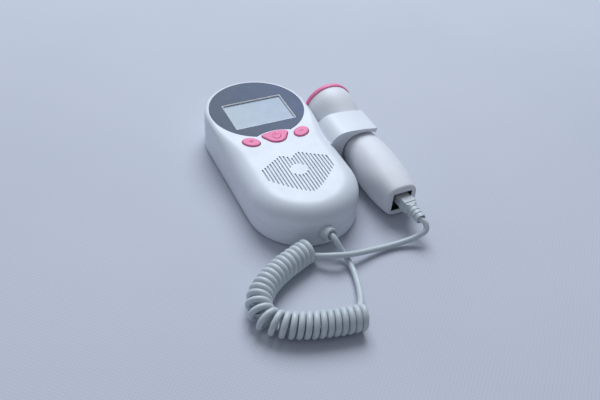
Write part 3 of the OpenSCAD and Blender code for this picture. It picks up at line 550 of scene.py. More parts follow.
cordFacts = {
    "wire": 3.3, "coilRadius": 5.45, "turnPitch": 3.42, "fan": 0.88, "sides": 18, "pointsPerTurn": 40,
    "lead": [[1.08, -71.83, 11.61], [1.27, -72.58, 11.7], [1.7, -74.6, 11.3], [2.4, -76.7, 9.6],
             [3.4, -78.3, 7.3], [4.5, -80, 5.2], [5.2, -82.4, 3.8], [5.4, -86.4, 3.0], [4.7, -93.3, 2.7],
             [2.8, -101.1, 3.1], [0, -109.2, 4.3], [-3.4, -116.3, 6.2], [-6.4, -121.2, 8.2]],
    "coil": [[-12.8, -73.7], [-19.3, -76], [-26.3, -78.9], [-33.2, -82.1], [-39.8, -86], [-45.6, -90.3],
             [-50.3, -95.3], [-53.4, -101.1], [-53.8, -107.2], [-51.4, -112.7], [-46.8, -116.9],
             [-40.5, -120.1], [-33.2, -122.7], [-25.2, -124.7], [-16.8, -126.2], [-7.8, -127.3]],
    "tail": [[-11.4, -78.2, 5.8], [-7.9, -80.9, 7.2], [-4.1, -83, 8.0], [0.2, -84.3, 7.9], [4.9, -84.7, 7.0],
             [9.9, -84.4, 5.8], [15, -83.9, 4.6], [20.2, -83.4, 3.6], [25.3, -83.1, 2.9], [30.3, -83, 2.5],
             [35.3, -83.1, 2.5], [40.3, -83.5, 3.0], [45.2, -84.2, 4.2], [49.9, -84.9, 6.2], [54, -85, 8.8],
             [54.9, -82.3, 11.6], [53.3, -79.32, 12.6], [53.01, -78.33, 12.73]],
    "coilZ": 7.1, "leadJoin": -14.0, "tailJoin": 238.0, "joinPoints": 4, "evenOver": 41, "step": 1.0,
    "coilStep": 0.25}


def smoothLine(points, stepMm, perSpan=24):
    # centripetal Catmull-Rom spline through the points, then even steps along it
    p = np.asarray(points, float)
    p = np.vstack([2 * p[0] - p[1], p, 2 * p[-1] - p[-2]])
    rows = []
    for a, b, c, d in zip(p[:-3], p[1:-2], p[2:-1], p[3:]):
        t0 = 0.0
        t1 = t0 + np.linalg.norm(b - a) ** 0.5
        t2 = t1 + np.linalg.norm(c - b) ** 0.5
        t3 = t2 + np.linalg.norm(d - c) ** 0.5
        t = np.linspace(t1, t2, perSpan, endpoint=False)[:, None]
        ab = (t1 - t) / (t1 - t0) * a + (t - t0) / (t1 - t0) * b
        bc = (t2 - t) / (t2 - t1) * b + (t - t1) / (t2 - t1) * c
        cd = (t3 - t) / (t3 - t2) * c + (t - t2) / (t3 - t2) * d
        abc = (t2 - t) / (t2 - t0) * ab + (t - t0) / (t2 - t0) * bc
        bcd = (t3 - t) / (t3 - t1) * bc + (t - t1) / (t3 - t1) * cd
        rows.append((t2 - t) / (t2 - t1) * abc + (t - t1) / (t2 - t1) * bcd)
    line = np.vstack(rows + [p[-2:-1]])
    run = np.concatenate([[0], np.cumsum(np.linalg.norm(np.diff(line, axis=0), axis=1))])
    even = np.linspace(0, run[-1], int(round(run[-1] / stepMm)) + 1)
    return np.column_stack([np.interp(even, run, line[:, k]) for k in range(3)])


def coilLine():
    # helix about the coil's middle line: turns are a pitch apart on the inside of a bend and fan out
    # beyond it
    f = cordFacts
    spots = [[x, y, f["coilZ"]] for x, y in f["coil"]]
    middle = smoothLine(spots, f["coilStep"])[::-1]  # from the far end back to the near end
    ahead = -unitRows(np.gradient(middle, axis=0))
    side = unitRows(np.cross(ahead, [0, 0, 1]))
    step = np.linalg.norm(np.diff(middle, axis=0), axis=1)
    heading = np.unwrap(np.arctan2(ahead[:, 1], ahead[:, 0]))
    bend = np.abs(np.gradient(heading)) / np.gradient(np.concatenate([[0], np.cumsum(step)]))
    n = f["evenOver"]
    bend = np.convolve(np.pad(bend, n // 2, mode="edge"), np.ones(n) / n, mode="valid")
    pitch = f["turnPitch"] / (1 - f["fan"] * f["coilRadius"] * bend)
    turns = np.concatenate([[0], np.cumsum(step / ((pitch[1:] + pitch[:-1]) / 2))])
    want = (f["tailJoin"] - f["leadJoin"]) / 360
    total = np.round(turns[-1] - want) + want
    turns = turns * total / turns[-1]
    fine = np.linspace(0, total, int(total * f["pointsPerTurn"]))
    centre = np.column_stack([np.interp(fine, turns, middle[:, k]) for k in range(3)])
    sideways = unitRows(np.column_stack([np.interp(fine, turns, side[:, k]) for k in range(3)]))
    a = (np.radians(f["leadJoin"]) + 2 * np.pi * fine)[:, None]
    return centre + f["coilRadius"] * (np.cos(a) * np.array([0, 0, 1]) + np.sin(a) * sideways), total


def cordLine():
    # lead, helix and tail on one line; the lead and tail end along the helix, so that the joins bend gently
    f, n = cordFacts, cordFacts["joinPoints"]
    helix, total = coilLine()
    lead = smoothLine(f["lead"] + [helix[0], helix[n]], f["step"])[:-n]
    tail = smoothLine([helix[-1 - n], helix[-1]] + f["tail"], f["step"])[n + 1:]
    return np.vstack([lead, helix, tail]), total


def jacket(line, radius, sides):
    # round tube: rings square to the line, carried along without twist
    ahead = unitRows(np.gradient(line, axis=0))
    up = np.zeros_like(line)
    up[0] = unitRows(np.cross(np.cross(ahead[0], [0, 0, 1]), ahead[0]))
    for i in range(1, len(line)):
        v = up[i - 1] - ahead[i] * (up[i - 1] @ ahead[i])
        up[i] = v / np.linalg.norm(v)
    side = np.cross(up, ahead)
    a = around(sides)[None, :, None]
    return loft(line[:, None] + radius * (np.cos(a) * side[:, None] + np.sin(a) * up[:, None]))


wireLine, coilTurns = cordLine()
wireLength = np.linalg.norm(np.diff(wireLine, axis=0), axis=1).sum()
print("cord line:", round(float(wireLength), 1), "mm with", round(float(coilTurns), 2), "turns")
curlyCord = asObject("curlyCord", jacket(wireLine, cordFacts["wire"] / 2, cordFacts["sides"]), 60)
dress(curlyCord, "cord")
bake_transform(curlyCord)
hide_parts("cord_lead", "cord_coil", "cord_tail")
print("cord made")


# case: two smooth shells with their openings

caseForm = {"width": 65.0, "length": 135.0, "height": 26.5, "seam": 11.0, "seamGap": 0.06, "seamEdge": 0.14,
            "wall": 2.2, "face": 2.4, "screenRound": 2.6, "cordRound": 10.5, "leastRound": 0.6,
            "roundFrom": 7.0, "roundOver": 36.0, "baseRound": 2.6, "cutDeep": 4.0, "keyPlay": 0.3,
            "keyLip": 0.3, "windowLip": 0.1}
endR = caseForm["width"] / 2
endY = caseForm["length"] / 2 - endR
topZ = caseForm["height"]


def caseStations(perArc=72, perSide=44):
    # points round the outline and their outward normals: two half circles and two straight sides
    right, left = arc(0, endY, endR, 0, 180, perArc), arc(0, -endY, endR, 180, 360, perArc)
    sideY = np.linspace(endY, -endY, perSide + 1)[1:-1]
    points = np.vstack([right, np.column_stack([np.full(len(sideY), -endR), sideY]), left,
                        np.column_stack([np.full(len(sideY), endR), sideY[::-1]])])
    middle = np.column_stack([np.zeros(len(points)), np.clip(points[:, 1], -endY, endY)])
    return points, unitRows(points - middle)


casePoints, caseNormals = caseStations()


def wallRing(z, inset):
    return flatRing(casePoints - caseNormals * inset, z)


def roundRing(degrees, inset, drop):
    # ring of the rounding over the edge: tight by the screen, soft by the loudspeaker and the cord end
    f, a = caseForm, np.radians(degrees)
    soft = ease((endY - f["roundFrom"] - casePoints[:, 1]) / f["roundOver"])
    r = f["screenRound"] + (f["cordRound"] - f["screenRound"]) * soft
    r = np.maximum(r - inset, f["leastRound"])
    p = casePoints - caseNormals * (inset + r * (1 - np.cos(a)))[:, None]
    return np.column_stack([p, topZ - drop - r + r * np.sin(a)])


panelForm = {"r": 29.6, "y": endY, "cutR": 24.6, "cutY": -14.6, "play": 0.15, "lip": 0.12, "recess": 0.5,
             "windowW": 39.6, "windowH": 27.4, "windowY": endY - 3.5, "windowR": 0.5, "leastR": 0.15}


def panelOutline(grow):
    # a disc cut by the arc along the power button
    f = panelForm
    ra, rb, d = f["r"] + grow, f["cutR"] - grow, f["y"] - f["cutY"]
    a = (d * d + ra * ra - rb * rb) / (2 * d)  # how far below the disc's centre the two circles meet
    x = np.sqrt(ra * ra - a * a)
    start = np.degrees(np.arctan2(-a, x))
    lower = np.degrees(np.arctan2(d - a, x))
    return np.vstack([arc(0, f["y"], ra, start, 180 - start, 140)[:-1],
                      arc(0, f["cutY"], rb, 180 - lower, lower, 40)[:-1]])


def windowOutline(grow):
    f = panelForm
    r = max(f["windowR"] + grow, f["leastR"])
    return roundedBox(f["windowW"] + 2 * grow, f["windowH"] + 2 * grow, r) + [0, f["windowY"]]


powerForm = {"arcR": 23.4, "arcY": -14.6, "cornerX": 5.9, "cornerR": 2.2, "tipY": 4.2, "tipR": 6.4}


def powerOutline(grow):
    # rounded triangle: an arc on top, two corner circles, a tip circle, and straight sides that touch both
    f = powerForm
    cornerY = f["arcY"] + np.sqrt((f["arcR"] - f["cornerR"]) ** 2 - f["cornerX"] ** 2)
    topA = np.degrees(np.arctan2(cornerY - f["arcY"], f["cornerX"]))
    run = np.hypot(f["cornerX"], cornerY - f["tipY"])
    sideA = np.degrees(np.arctan2(cornerY - f["tipY"], f["cornerX"])) - 90
    sideA -= np.degrees(np.arcsin((f["cornerR"] - f["tipR"]) / run))
    return np.vstack([arc(0, f["arcY"], f["arcR"] + grow, topA, 180 - topA, 36)[:-1],
                      arc(-f["cornerX"], cornerY, f["cornerR"] + grow, 180 - topA, 180 - sideA, 24)[:-1],
                      arc(0, f["tipY"], f["tipR"] + grow, 180 - sideA, 360 + sideA, 40)[:-1],
                      arc(f["cornerX"], cornerY, f["cornerR"] + grow, sideA, topA, 24)[:-1]])


volumeForm = {"x": 16.2, "y": 3.0, "a": 5.4, "b": 3.9, "tilt": 36.0, "points": 96}


def volumeOutline(grow, side):
    # a tilted ellipse; side is -1 for the up key and 1 for the down key
    f = volumeForm
    a = around(f["points"])
    flat = np.column_stack([(f["a"] + grow) * np.cos(a), (f["b"] + grow) * np.sin(a)])
    return flat @ turn("z", side * f["tilt"])[:2, :2].T + [side * f["x"], f["y"]]


grilleForm = {"pitch": 2.0, "slot": 0.85, "discR": 4.9, "y": -29.6, "halfW": 20.5, "lip": 0.12,
              "shoulderY": -14.7, "dip": 4.0, "dipHalf": 6.0, "fall": 0.6, "tipY": -50.1, "flank": 0.25,
              "flankPower": 1.4, "pocketR": 21.7, "pocketY": -31.5, "face": 0.6}


def heartTop(x):
    # the upper edge dips in the middle by dip * (1 - x / dipHalf)^1.5 and falls straight further out
    f, u = grilleForm, abs(x)
    if u < f["dipHalf"]:
        return f["shoulderY"] - f["dip"] * ((f["dipHalf"] - u) / f["dipHalf"]) ** 1.5
    return f["shoulderY"] - f["fall"] * (u - f["dipHalf"])


def heartLow(x):
    # the lower edge rises from the tip by flank * x^flankPower
    return grilleForm["tipY"] + grilleForm["flank"] * abs(x) ** grilleForm["flankPower"]


def slotOutline(x, y0, y1, grow):
    # a slot with round ends
    inner = grilleForm["slot"] / 2
    r = inner + grow
    return np.vstack([arc(x, y1 - inner, r, 0, 180, 8), arc(x, y0 + inner, r, 180, 360, 8)])


def grilleWells():
    # slots along the case inside a heart, broken by a plain disc
    f = grilleForm
    forms = []
    deep = caseForm["cutDeep"]
    count = int(f["halfW"] // f["pitch"])
    for i in range(-count, count + 1):
        x = i * f["pitch"]
        spans = [(heartLow(x), heartTop(x))]
        if abs(x) < f["discR"]:
            reach = np.sqrt(f["discR"] ** 2 - x * x)
            spans = [(heartLow(x), f["y"] - reach), (f["y"] + reach, heartTop(x))]
        for y0, y1 in spans:
            forms.append(well(lambda g: slotOutline(x, y0, y1, g), topZ - deep, topZ, f["lip"]))
    return forms


jackForm = {"r": 3.3, "mouthR": 3.6, "mouthDeep": 0.3, "deep": 6.0, "x": -8.0, "z": 15.5, "inset": 1.1}


def jackCutter():
    # bore with a flared mouth in the screen end of the case
    f = jackForm
    rows = [(f["r"], -f["deep"]), (f["r"], 0.02), (f["mouthR"], f["mouthDeep"]), (f["mouthR"], 3)]
    return moved(lathe(rows, 48), lengthwise, (f["x"], endY + endR - f["inset"], f["z"]))


def makeFrontShell():
    f, grille, panel = caseForm, grilleForm, panelForm
    low = f["seam"] + f["seamGap"] / 2
    bottom = topZ - f["cutDeep"]
    rings = [wallRing(low, f["seamEdge"] * (1 - np.sin(a))) + [0, 0, f["seamEdge"] * (1 - np.cos(a))]
             for a in np.radians([0, 30, 60, 90])]
    rings += [roundRing(a, 0, 0) for a in np.linspace(0, 90, 19)]
    shell = asObject("caseFront", loft(rings), 30)
    carve(shell, loft([wallRing(low - 2, f["wall"])]
                      + [roundRing(a, f["wall"], f["face"]) for a in (0, 30, 60, 90)]))
    # the face is thin in a round pocket under the grille
    pocket = arc(0, grille["pocketY"], grille["pocketR"], 0, 360, 120)[:-1]
    carve(shell, prism(pocket, topZ - f["face"] - 1, topZ - grille["face"]))
    carve(shell, well(lambda g: panelOutline(panel["play"] + g), topZ - panel["recess"], topZ, panel["lip"]))
    wells = [well(windowOutline, bottom, topZ - panel["recess"], f["windowLip"])]
    wells.append(well(lambda g: powerOutline(f["keyPlay"] + g), bottom, topZ, f["keyLip"]))
    wells += [well(lambda g: volumeOutline(f["keyPlay"] + g, side), bottom, topZ, f["keyLip"])
              for side in (-1, 1)]
    carve(shell, gather(wells + grilleWells()))
    carve(shell, jackCutter())
    evenNormals(shell)
    return shell


coverForm = {"halfW": 17.6, "y0": -59.0, "length": 56.8, "play": 0.3, "cornerR": 1.2, "deep": 1.9}
bayForm = {"w": 30.0, "length": 54.8, "y0": -58.4, "r": 0.8, "wall": 1.3, "outerR": 1.6, "high": 18.4}
screwForm = {"r": 2.3, "mouthR": 2.5, "mouthDeep": 0.25, "deep": 3.0,
             "spots": [(18.97, endY + 18), (-18.97, endY + 18), (22.4, -endY - 11), (-22.4, -endY - 11)]}


def screwHoles():
    f = screwForm
    rows = [(f["mouthR"], -1), (f["mouthR"], 0), (f["r"], f["mouthDeep"]), (f["r"], f["deep"])]
    return [moved(lathe(rows, 40), None, (x, y, 0)) for x, y in f["spots"]]


def makeRearShell():
    # the lower shell with its rounded foot, and the walls and lid of the battery bay inside it
    f, cover, bay = caseForm, coverForm, bayForm
    high = f["seam"] - f["seamGap"] / 2
    rings = [wallRing(f["baseRound"] * (1 - np.cos(a)), f["baseRound"] * (1 - np.sin(a)))
             for a in np.radians(np.linspace(0, 90, 7))]
    rings += [wallRing(high - f["seamEdge"] * (1 - np.sin(a)), f["seamEdge"] * (1 - np.cos(a)))
              for a in np.radians([0, 30, 60, 90])]
    shell = asObject("caseRear", loft(rings), 30)
    carve(shell, loft([wallRing(f["wall"], f["wall"]), wallRing(high + 2, f["wall"])]))
    recess = roundedBox(2 * (cover["halfW"] + cover["play"]), cover["length"] + 2 * cover["play"],
                        cover["cornerR"]) + [0, cover["y0"] + cover["length"] / 2]
    carve(shell, prism(recess, -1, cover["deep"]))
    middle = bay["y0"] + bay["length"] / 2
    inner = roundedBox(bay["w"], bay["length"], bay["r"]) + [0, middle]
    more = 2 * bay["wall"]
    outer = roundedBox(bay["w"] + more, bay["length"] + more, bay["outerR"]) + [0, middle]
    carve(shell, gather([prism(inner, -1, 4)] + screwHoles()))
    evenNormals(shell)
    low, top = cover["deep"], bay["high"]
    rows = ((inner, low), (outer, low), (outer, top), (inner, top))
    points, faces = loft([flatRing(outline, z) for outline, z in rows], False, False)
    n = len(inner)
    lid = [list(range(3 * n, 4 * n))]
    return shell, asObject("bayWalls", (points, faces + lid), 30)


windowForm = {"top": 26.45, "dip": 26.2, "low": 24.2, "wide": 0.8, "plate": 25.35, "glassW": 44.0,
              "glassH": 31.0, "glassLow": 22.1, "glassTop": 24.05, "glassR": 0.4, "edge": 0.1}


def makeWindow():
    # a white frame inside the panel's window, and the display's glass with a step that rises inside it
    f = windowForm
    outer, lip, inner = windowOutline(-0.03), windowOutline(-0.2), windowOutline(-f["wide"])
    rows = ((outer, f["low"]), (outer, f["top"] - f["edge"]), (lip, f["top"]), (inner, f["dip"]),
            (inner, f["low"]))
    windowFrame = asObject("windowFrame", hoop([flatRing(outline, z) for outline, z in rows]), 30)
    glass = roundedBox(f["glassW"], f["glassH"], f["glassR"]) + [0, panelForm["windowY"]]
    step, rim = windowOutline(-f["wide"] - 0.02), windowOutline(-f["wide"] - 0.14)
    rows = ((glass, f["glassLow"]), (glass, f["glassTop"]), (step, f["glassTop"]),
            (step, f["plate"] - f["edge"]), (rim, f["plate"]))
    return windowFrame, asObject("displayPlate", loft([flatRing(outline, z) for outline, z in rows]), 30)


def makeGrilleCloth():
    # a thin flat disc with a turned-down rim, stretched right under the slots
    f = grilleForm
    low, r = topZ - f["face"], f["pocketR"] - 0.3
    rows = [(r, low - 0.35), (r + 0.15, low - 0.25)] + [(radius, low - 0.06) for radius in (r, 14, 7, 0)]
    return asObject("grilleCloth", moved(lathe(rows, 72), None, (0, f["pocketY"], 0)), 40)


caseFront = makeFrontShell()
caseRear, bayWalls = makeRearShell()
windowFrame, displayPlate = makeWindow()
clothDisc = makeGrilleCloth()
enlist(caseFront, "case", "case", "white_shell", "front_shell")
enlist(caseRear, "case", "case", "white_shell", "rear_shell")
enlist(bayWalls, "case", "case", "white_shell")
enlist(windowFrame, "frame", "case", "white_shell")
enlist(displayPlate, "display", "case", "lcd", "lcd_glass")
enlist(clothDisc, "cloth", "case", "cone_paper")
print("case made")


# clip that carries the probe

clipForm = {"y0": -12.0, "length": 20.5, "top": 30.4, "tipX": 60.6, "crownX": 39.5, "arcR": 11.6, "base": 0.4,
            "rootX": 24.5, "lipX": 44.9, "lipR": 0.8, "innerZ": 15.0, "tipR": 0.7, "armEnd": 0.97,
            "boreR": 13.0, "squareness": 2.4, "edge": 0.8, "drop": 2.3, "cornerR": 2.4, "planLong": 60.0}


def clipOutline():
    # outer profile across the case: up over the probe to a thin tip, and under it to a short lip;
    # the arm falls by drop * t^2 from the crown to the tip, and the bore takes the inner corners away
    f = clipForm
    t = np.linspace(f["armEnd"], 0.05, 16)
    arm = np.column_stack([f["crownX"] + (f["tipX"] - f["crownX"]) * t, f["top"] - f["drop"] * t * t])
    tipX, tipZ = f["tipX"], f["top"] - f["drop"] * f["armEnd"] ** 2
    return np.vstack([
        [[f["rootX"], f["base"]], [f["lipX"], f["base"]]],
        arc(f["lipX"], f["base"] + f["lipR"], f["lipR"], -60, 0, 4),
        [[f["lipX"] + f["lipR"], f["innerZ"]], [tipX - 5, f["innerZ"]], [tipX - 2.2, tipZ - 4.2],
         [tipX - 0.3, tipZ - 2.5]],
        arc(tipX - f["tipR"], tipZ - 0.95, f["tipR"], 0, 60, 5), arm,
        arc(f["crownX"], f["top"] - f["arcR"], f["arcR"], 90, 150, 24),
        [[f["rootX"], f["top"] - f["arcR"]]]])


def makeClip():
    f = clipForm
    across = turn("x", 90)
    arm = prism(clipOutline(), -1, f["length"] + 1)
    clip = asObject("probeClip", moved(arm, across, (0, f["y0"] + f["length"], 0)), 30)
    # seen from above, the arm's free corners are rounded
    middle = [f["tipX"] + 0.4 - f["planLong"] / 2, f["y0"] + f["length"] / 2]
    carve(clip, prism(roundedBox(f["planLong"], f["length"], f["cornerR"]) + middle, -5, 40), "INTERSECT")
    bore = superEllipse(f["boreR"], f["boreR"], f["squareness"], around(120))
    carve(clip, moved(prism(bore, -30, 30), probeTurn @ across, probeSpot))
    step = clip.modifiers.new("soft edges", "BEVEL")
    step.width, step.segments, step.limit_method = f["edge"] * mm, 4, "ANGLE"
    step.angle_limit = np.radians(50)
    settle(clip)
    shadeByAngle(clip, 35)
    evenNormals(clip)
    return clip


enlist(makeClip(), "case", "case", "white_shell", "probe_clip")
print("clip made")


# buttons: silicone caps with raised generic symbols

buttonForm = {"low": 23.3, "top": 27.35, "edge": 0.75, "crown": 0.15, "raise": 0.18, "line": 0.4,
              "soft": 0.14, "arm": 1.0, "ringR": 2.45, "gap": 34.0, "barY": 2.3, "barHalf": 1.1}


def plusMark(x, y):
    u, v, arm = np.abs(x), np.abs(y), buttonForm["arm"]
    return np.minimum(np.maximum(u - arm, v), np.maximum(v - arm, u))


def minusMark(x, y):
    return np.maximum(np.abs(x) - buttonForm["arm"], np.abs(y))


def powerMark(x, y):
    # open circle with a bar through its gap
    f = buttonForm
    r, a = np.hypot(x, y), np.degrees(np.arctan2(x, y))
    ring = np.where(np.abs(a) > f["gap"], np.abs(r - f["ringR"]), 9.0)
    return np.minimum(ring, np.maximum(np.abs(x), np.abs(y - f["barY"]) - f["barHalf"]))


def makeButton(name, outlineAt, markAt, spot):
    # the mark function gives the distance from its lines; the dome rises along them
    f = buttonForm
    points, faces = pillow(outlineAt, f["low"], f["top"], f["edge"], f["crown"])
    x, y = (points[:, :2] - spot).T
    away = markAt(x, y)
    mark = np.where(points[:, 2] > f["top"] - 0.1, 1 - ease((away - f["line"] / 2) / f["soft"]), 0.0)
    points[:, 2] += f["raise"] * mark
    button = asObject(name, (points, faces), 60)
    layer = button.data.attributes.new("mark", "FLOAT", "POINT")
    layer.data.foreach_set("value", mark.astype(np.float32))
    return button


buttons = (
    ("powerCap", powerOutline, powerMark, (0.0, 3.1), "power_key", "power_button"),
    ("volumeUpCap", lambda g: volumeOutline(g, -1), plusMark, (-volumeForm["x"], volumeForm["y"]),
     "volume_up_key", "volume_up_button"),
    ("volumeDownCap", lambda g: volumeOutline(g, 1), minusMark, (volumeForm["x"], volumeForm["y"]),
     "volume_down_key", "volume_down_button"))
for name, outlineAt, markAt, spot, body, node in buttons:
    enlist(makeButton(name, outlineAt, markAt, spot), "pink", body, "pink_rubber", node)
print("buttons made")


# probe: two shells round the plug opening, pink ring, lens and the opening's lining

probeForm = {"end": -61.0, "head": 33.4, "endHalf": 9.7, "grip": 13.1, "waist": 10.6, "bulge": 16.25,
             "headR": 15.95, "gripEnd": -30.0, "waistEnd": 3.0, "flareOver": 25.0, "bulgeEnd": 27.0,
             "bulgeOver": 8.0, "endPower": 2.9, "taller": 0.08, "wall": 1.8, "socketW": 12.4,
             "socketH": 13.1, "socketDeep": 17.0, "socketPower": 40, "endRound": 1.4, "seam": 0.04,
             "seamEdge": 0.14, "seamSoft": 0.3}


def probeHalf(y):
    # half width along the probe: grip, waist, the flare to a bulge, then slightly in to the ring
    f = probeForm
    rise = np.clip((y - f["end"]) / (f["gripEnd"] - f["end"]), 0, 1)
    grip = f["endHalf"] + (f["grip"] - f["endHalf"]) * np.sin(np.pi / 2 * rise)
    neck = f["grip"] + (f["waist"] - f["grip"]) * ease((y - f["gripEnd"]) / (f["waistEnd"] - f["gripEnd"]))
    flare = (f["waist"] + (f["bulge"] - f["waist"]) * ease((y - f["waistEnd"]) / f["flareOver"])
             - (f["bulge"] - f["headR"]) * ease((y - f["bulgeEnd"]) / f["bulgeOver"]))
    return np.where(y < f["gripEnd"], grip, np.where(y < f["waistEnd"], neck, flare))


def probeSection(y, inset, a):
    # a rounded square that becomes a circle towards the head, and is a little taller at the plug's end
    f = probeForm
    w = probeHalf(y) - inset
    power = f["endPower"] - 0.5 * ease((y + 55) / 25) - 0.4 * ease((y + 6) / 24)
    return superEllipse(w, w * (1 + f["taller"] * ease((f["gripEnd"] - y) / 30)), power, a)


def makeProbeShell(name, up):
    # each shell is a loop, outside from seam to seam and back along its inner face, carried along the probe
    f = probeForm
    corner = np.degrees(np.arctan2(f["socketH"], f["socketW"]))
    near = corner + np.array([-1.6, -0.8, -0.3, 0, 0.3, 0.8, 1.6])
    a = np.radians(np.sort(np.concatenate([[0.0, 0.8, 1.8, 3.0], np.linspace(5, 175, 69), near, 180 - near,
                                           [177.0, 178.2, 179.2, 180.0]])))
    # a rectangle with hardly rounded corners: r = ((cos / w)^p + (sin / h)^p)^(-1 / p)
    p = f["socketPower"]
    across, upright = np.abs(np.cos(a)) * 2 / f["socketW"], np.abs(np.sin(a)) * 2 / f["socketH"]
    openR = (across ** p + upright ** p) ** (-1 / p)
    hole = np.column_stack([openR * np.cos(a), openR * np.sin(a)])
    deepY = f["end"] + f["socketDeep"]
    rim = f["endRound"] * (1 - np.cos(np.radians([0, 18, 36, 54, 72, 90])))
    stations = np.concatenate([f["end"] + rim, np.linspace(f["end"] + f["endRound"] + 1, deepY, 16),
                               [deepY + 0.1], np.linspace(deepY + 1, f["head"], 60)])
    rings = []
    for y in stations:
        away = np.clip((f["end"] + f["endRound"] - y) / f["endRound"], 0, 1)
        outer = probeSection(y, f["endRound"] * (1 - np.sqrt(1 - away ** 2)) * 0.9, a)
        inner = hole if y <= deepY else probeSection(y, f["wall"], a)
        height = np.abs(outer[:, 1])
        outer = outer - unitRows(outer) * (f["seamEdge"] * (1 - ease(height / f["seamSoft"])))[:, None]
        loop = np.vstack([outer, inner[::-1]])
        loop[:, 1] = np.maximum(loop[:, 1], f["seam"])
        rings.append(np.column_stack([loop[:, 0], np.full(len(loop), y), up * loop[:, 1]]))
    # caps as strips between the outer and inner edges, because the loop's ends are not flat polygons
    points, faces = loft(rings[::-1] if up > 0 else rings, False, False)
    i, count = np.arange(len(a) - 1), len(rings[0])
    strip = np.column_stack([i, i + 1, count - 2 - i, count - 1 - i])
    faces += strip[:, ::-1].tolist() + (strip + (len(rings) - 1) * count).tolist()
    return asObject(name, moved((points, faces), probeTurn, probeSpot), 32)


# each row is (radius, place along the probe)
ringRows = [(14.9, 33.42), (16.1, 33.42), (16.45, 33.5), (16.65, 33.75), (16.72, 34.2), (16.72, 35.3),
            (16.62, 35.95), (16.35, 36.42), (16.0, 36.6), (15.4, 36.6), (15.2, 36.45), (15.1, 36.2),
            (14.9, 36.0)]
lensForm = {"spigotR": 14.0, "low": 34.1, "r": 15.15, "rim": 36.3, "domeR": 15.05, "domeY": 36.35,
            "dome": 1.9}
# each row is (width, height, corner radius, place along the probe)
liningRows = [(12.3, 13.0, 0.35, -60.55), (12.3, 13.0, 0.35, -57.9), (11.1, 11.9, 0.3, -57.9),
              (11.1, 11.9, 0.3, -60.4), (11.5, 12.3, 0.3, -60.62)]


def lensRows():
    # a short rim under an elliptical dome
    f = lensForm
    rows = [(f["spigotR"], f["low"]), (f["r"], f["low"]), (f["r"], f["rim"])]
    return rows + [(f["domeR"] * np.cos(t), f["domeY"] + f["dome"] * np.sin(t))
                   for t in np.radians(np.linspace(2, 90, 22))]


def onProbe(name, form, angle):
    # a form worked out along its own z axis, laid along the probe
    return asObject(name, moved(form, probeTurn @ lengthwise, probeSpot), angle)


enlist(makeProbeShell("probeTop", 1), "probe", "probe", "probe_shell", "probe_top_shell")
enlist(makeProbeShell("probeBottom", -1), "probe", "probe", "probe_shell", "probe_bottom_shell")
enlist(onProbe("headRing", lathe(ringRows, 160), 50), "pink", "probe", "pink_rubber", "head_ring")
enlist(onProbe("lensDome", lathe(lensRows(), 128), 50), "lens", "probe", "lens_plastic", "transducer_lens")
enlist(onProbe("socketLining", hoop([flatRing(roundedBox(w, h, r, 4), y) for w, h, r, y in liningRows]), 30),
       "black", "probe", "black_plastic")
print("probe made")


# plug and gland

plugForm = {"bootW": 7.8, "bootH": 7.5, "bootLong": 6.2, "neck": 10.0, "out": 2.2, "square": 13,
            "step": 0.4, "stepAt": 4.3, "neckR": 3.45, "taper": 0.4, "ribs": 3, "ribFrom": 1.6,
            "ribPitch": 2.75, "grooveHalf": 0.34, "grooveDeep": 0.8, "mouth": 0.25, "latchZ": -4.35}


def squareRing(w, h, power, z, n=72):
    return flatRing(superEllipse(w, h, power, around(n)), z)


def makePlugBoot():
    # crisp block with a step round it, then a tapering neck with slits that ends in a hollow mouth
    f = plugForm
    w, h, n, p = f["bootW"] / 2, f["bootH"] / 2, f["bootLong"], f["square"]
    rows = [(0.35, 0), (0.1, 0.08), (0, 0.3), (0, 1.6), (0, 3.2), (0, f["stepAt"] - 0.12), (0.1, f["stepAt"]),
            (f["step"], f["stepAt"] + 0.05), (f["step"], n - 0.9)]
    rings = [squareRing(w - inset, h - inset, p, z) for inset, z in rows]
    w, h = w - f["step"], h - f["step"]
    rings += [squareRing(w - 0.3 * t, h - 0.1 * t, p - (p - 2.6) * t, n - 0.9 + 1.2 * t)
              for t in np.linspace(0.15, 1, 8)]
    for z in np.linspace(n + 0.4, n + f["neck"] - 0.5, 90):
        t = (z - n) / f["neck"]
        rib = (t * f["neck"] - f["ribFrom"]) / f["ribPitch"]
        away = np.abs((rib - np.round(rib)) * f["ribPitch"])
        groove = np.clip(1 - away / f["grooveHalf"], 0, 1) if -0.3 < rib < f["ribs"] - 0.3 else 0
        r = f["neckR"] - f["taper"] * t - f["grooveDeep"] * ease(groove * 2)
        rings.append(squareRing(r, r, 2.2, z))
    end = n + f["neck"]
    for a in np.radians([30, 60, 90]):
        r = f["neckR"] - f["taper"] - f["mouth"] * (1 - np.cos(a))
        rings.append(squareRing(r, r, 2.1, end - f["mouth"] + f["mouth"] * np.sin(a)))
    mouth = ((2.6, 0.0), (2.45, 0.12), (2.4, 0.5), (2.3, 1.6))
    rings += [squareRing(r, r, 2, end - deep) for r, deep in mouth]
    offset = plugTurn @ np.array([0.6, -f["out"], -0.4])
    return asObject("plugBoot", moved(loft(rings), plugTurn @ turn("x", 90), plugSpot + offset), 35)


def makePlugBody():
    # clear block with a spring latch and its foot under it
    place, down = plugTurn @ lengthwise, plugForm["latchZ"]
    block = [squareRing(w, h, 9, z) for w, h, z in ((3.85, 3.3, -2.4), (3.85, 3.3, 11.6), (3.5, 3.0, 12))]
    latch = [squareRing(1.6, 0.42, 6, z) for z in (1.6, 9.5)]
    foot = [squareRing(1.55, 0.42, 6, z) for z in (-0.35, 1.2)]
    forms = [moved(loft(rings), matrix, plugSpot + plugTurn @ np.array(offset))
             for rings, matrix, offset in ((block, place, (0, 0, 0)), (latch, place, (0, 0, down)),
                                           (foot, plugTurn, (0, 9.0, down)))]
    return asObject("plugBody", gather(forms), 35)


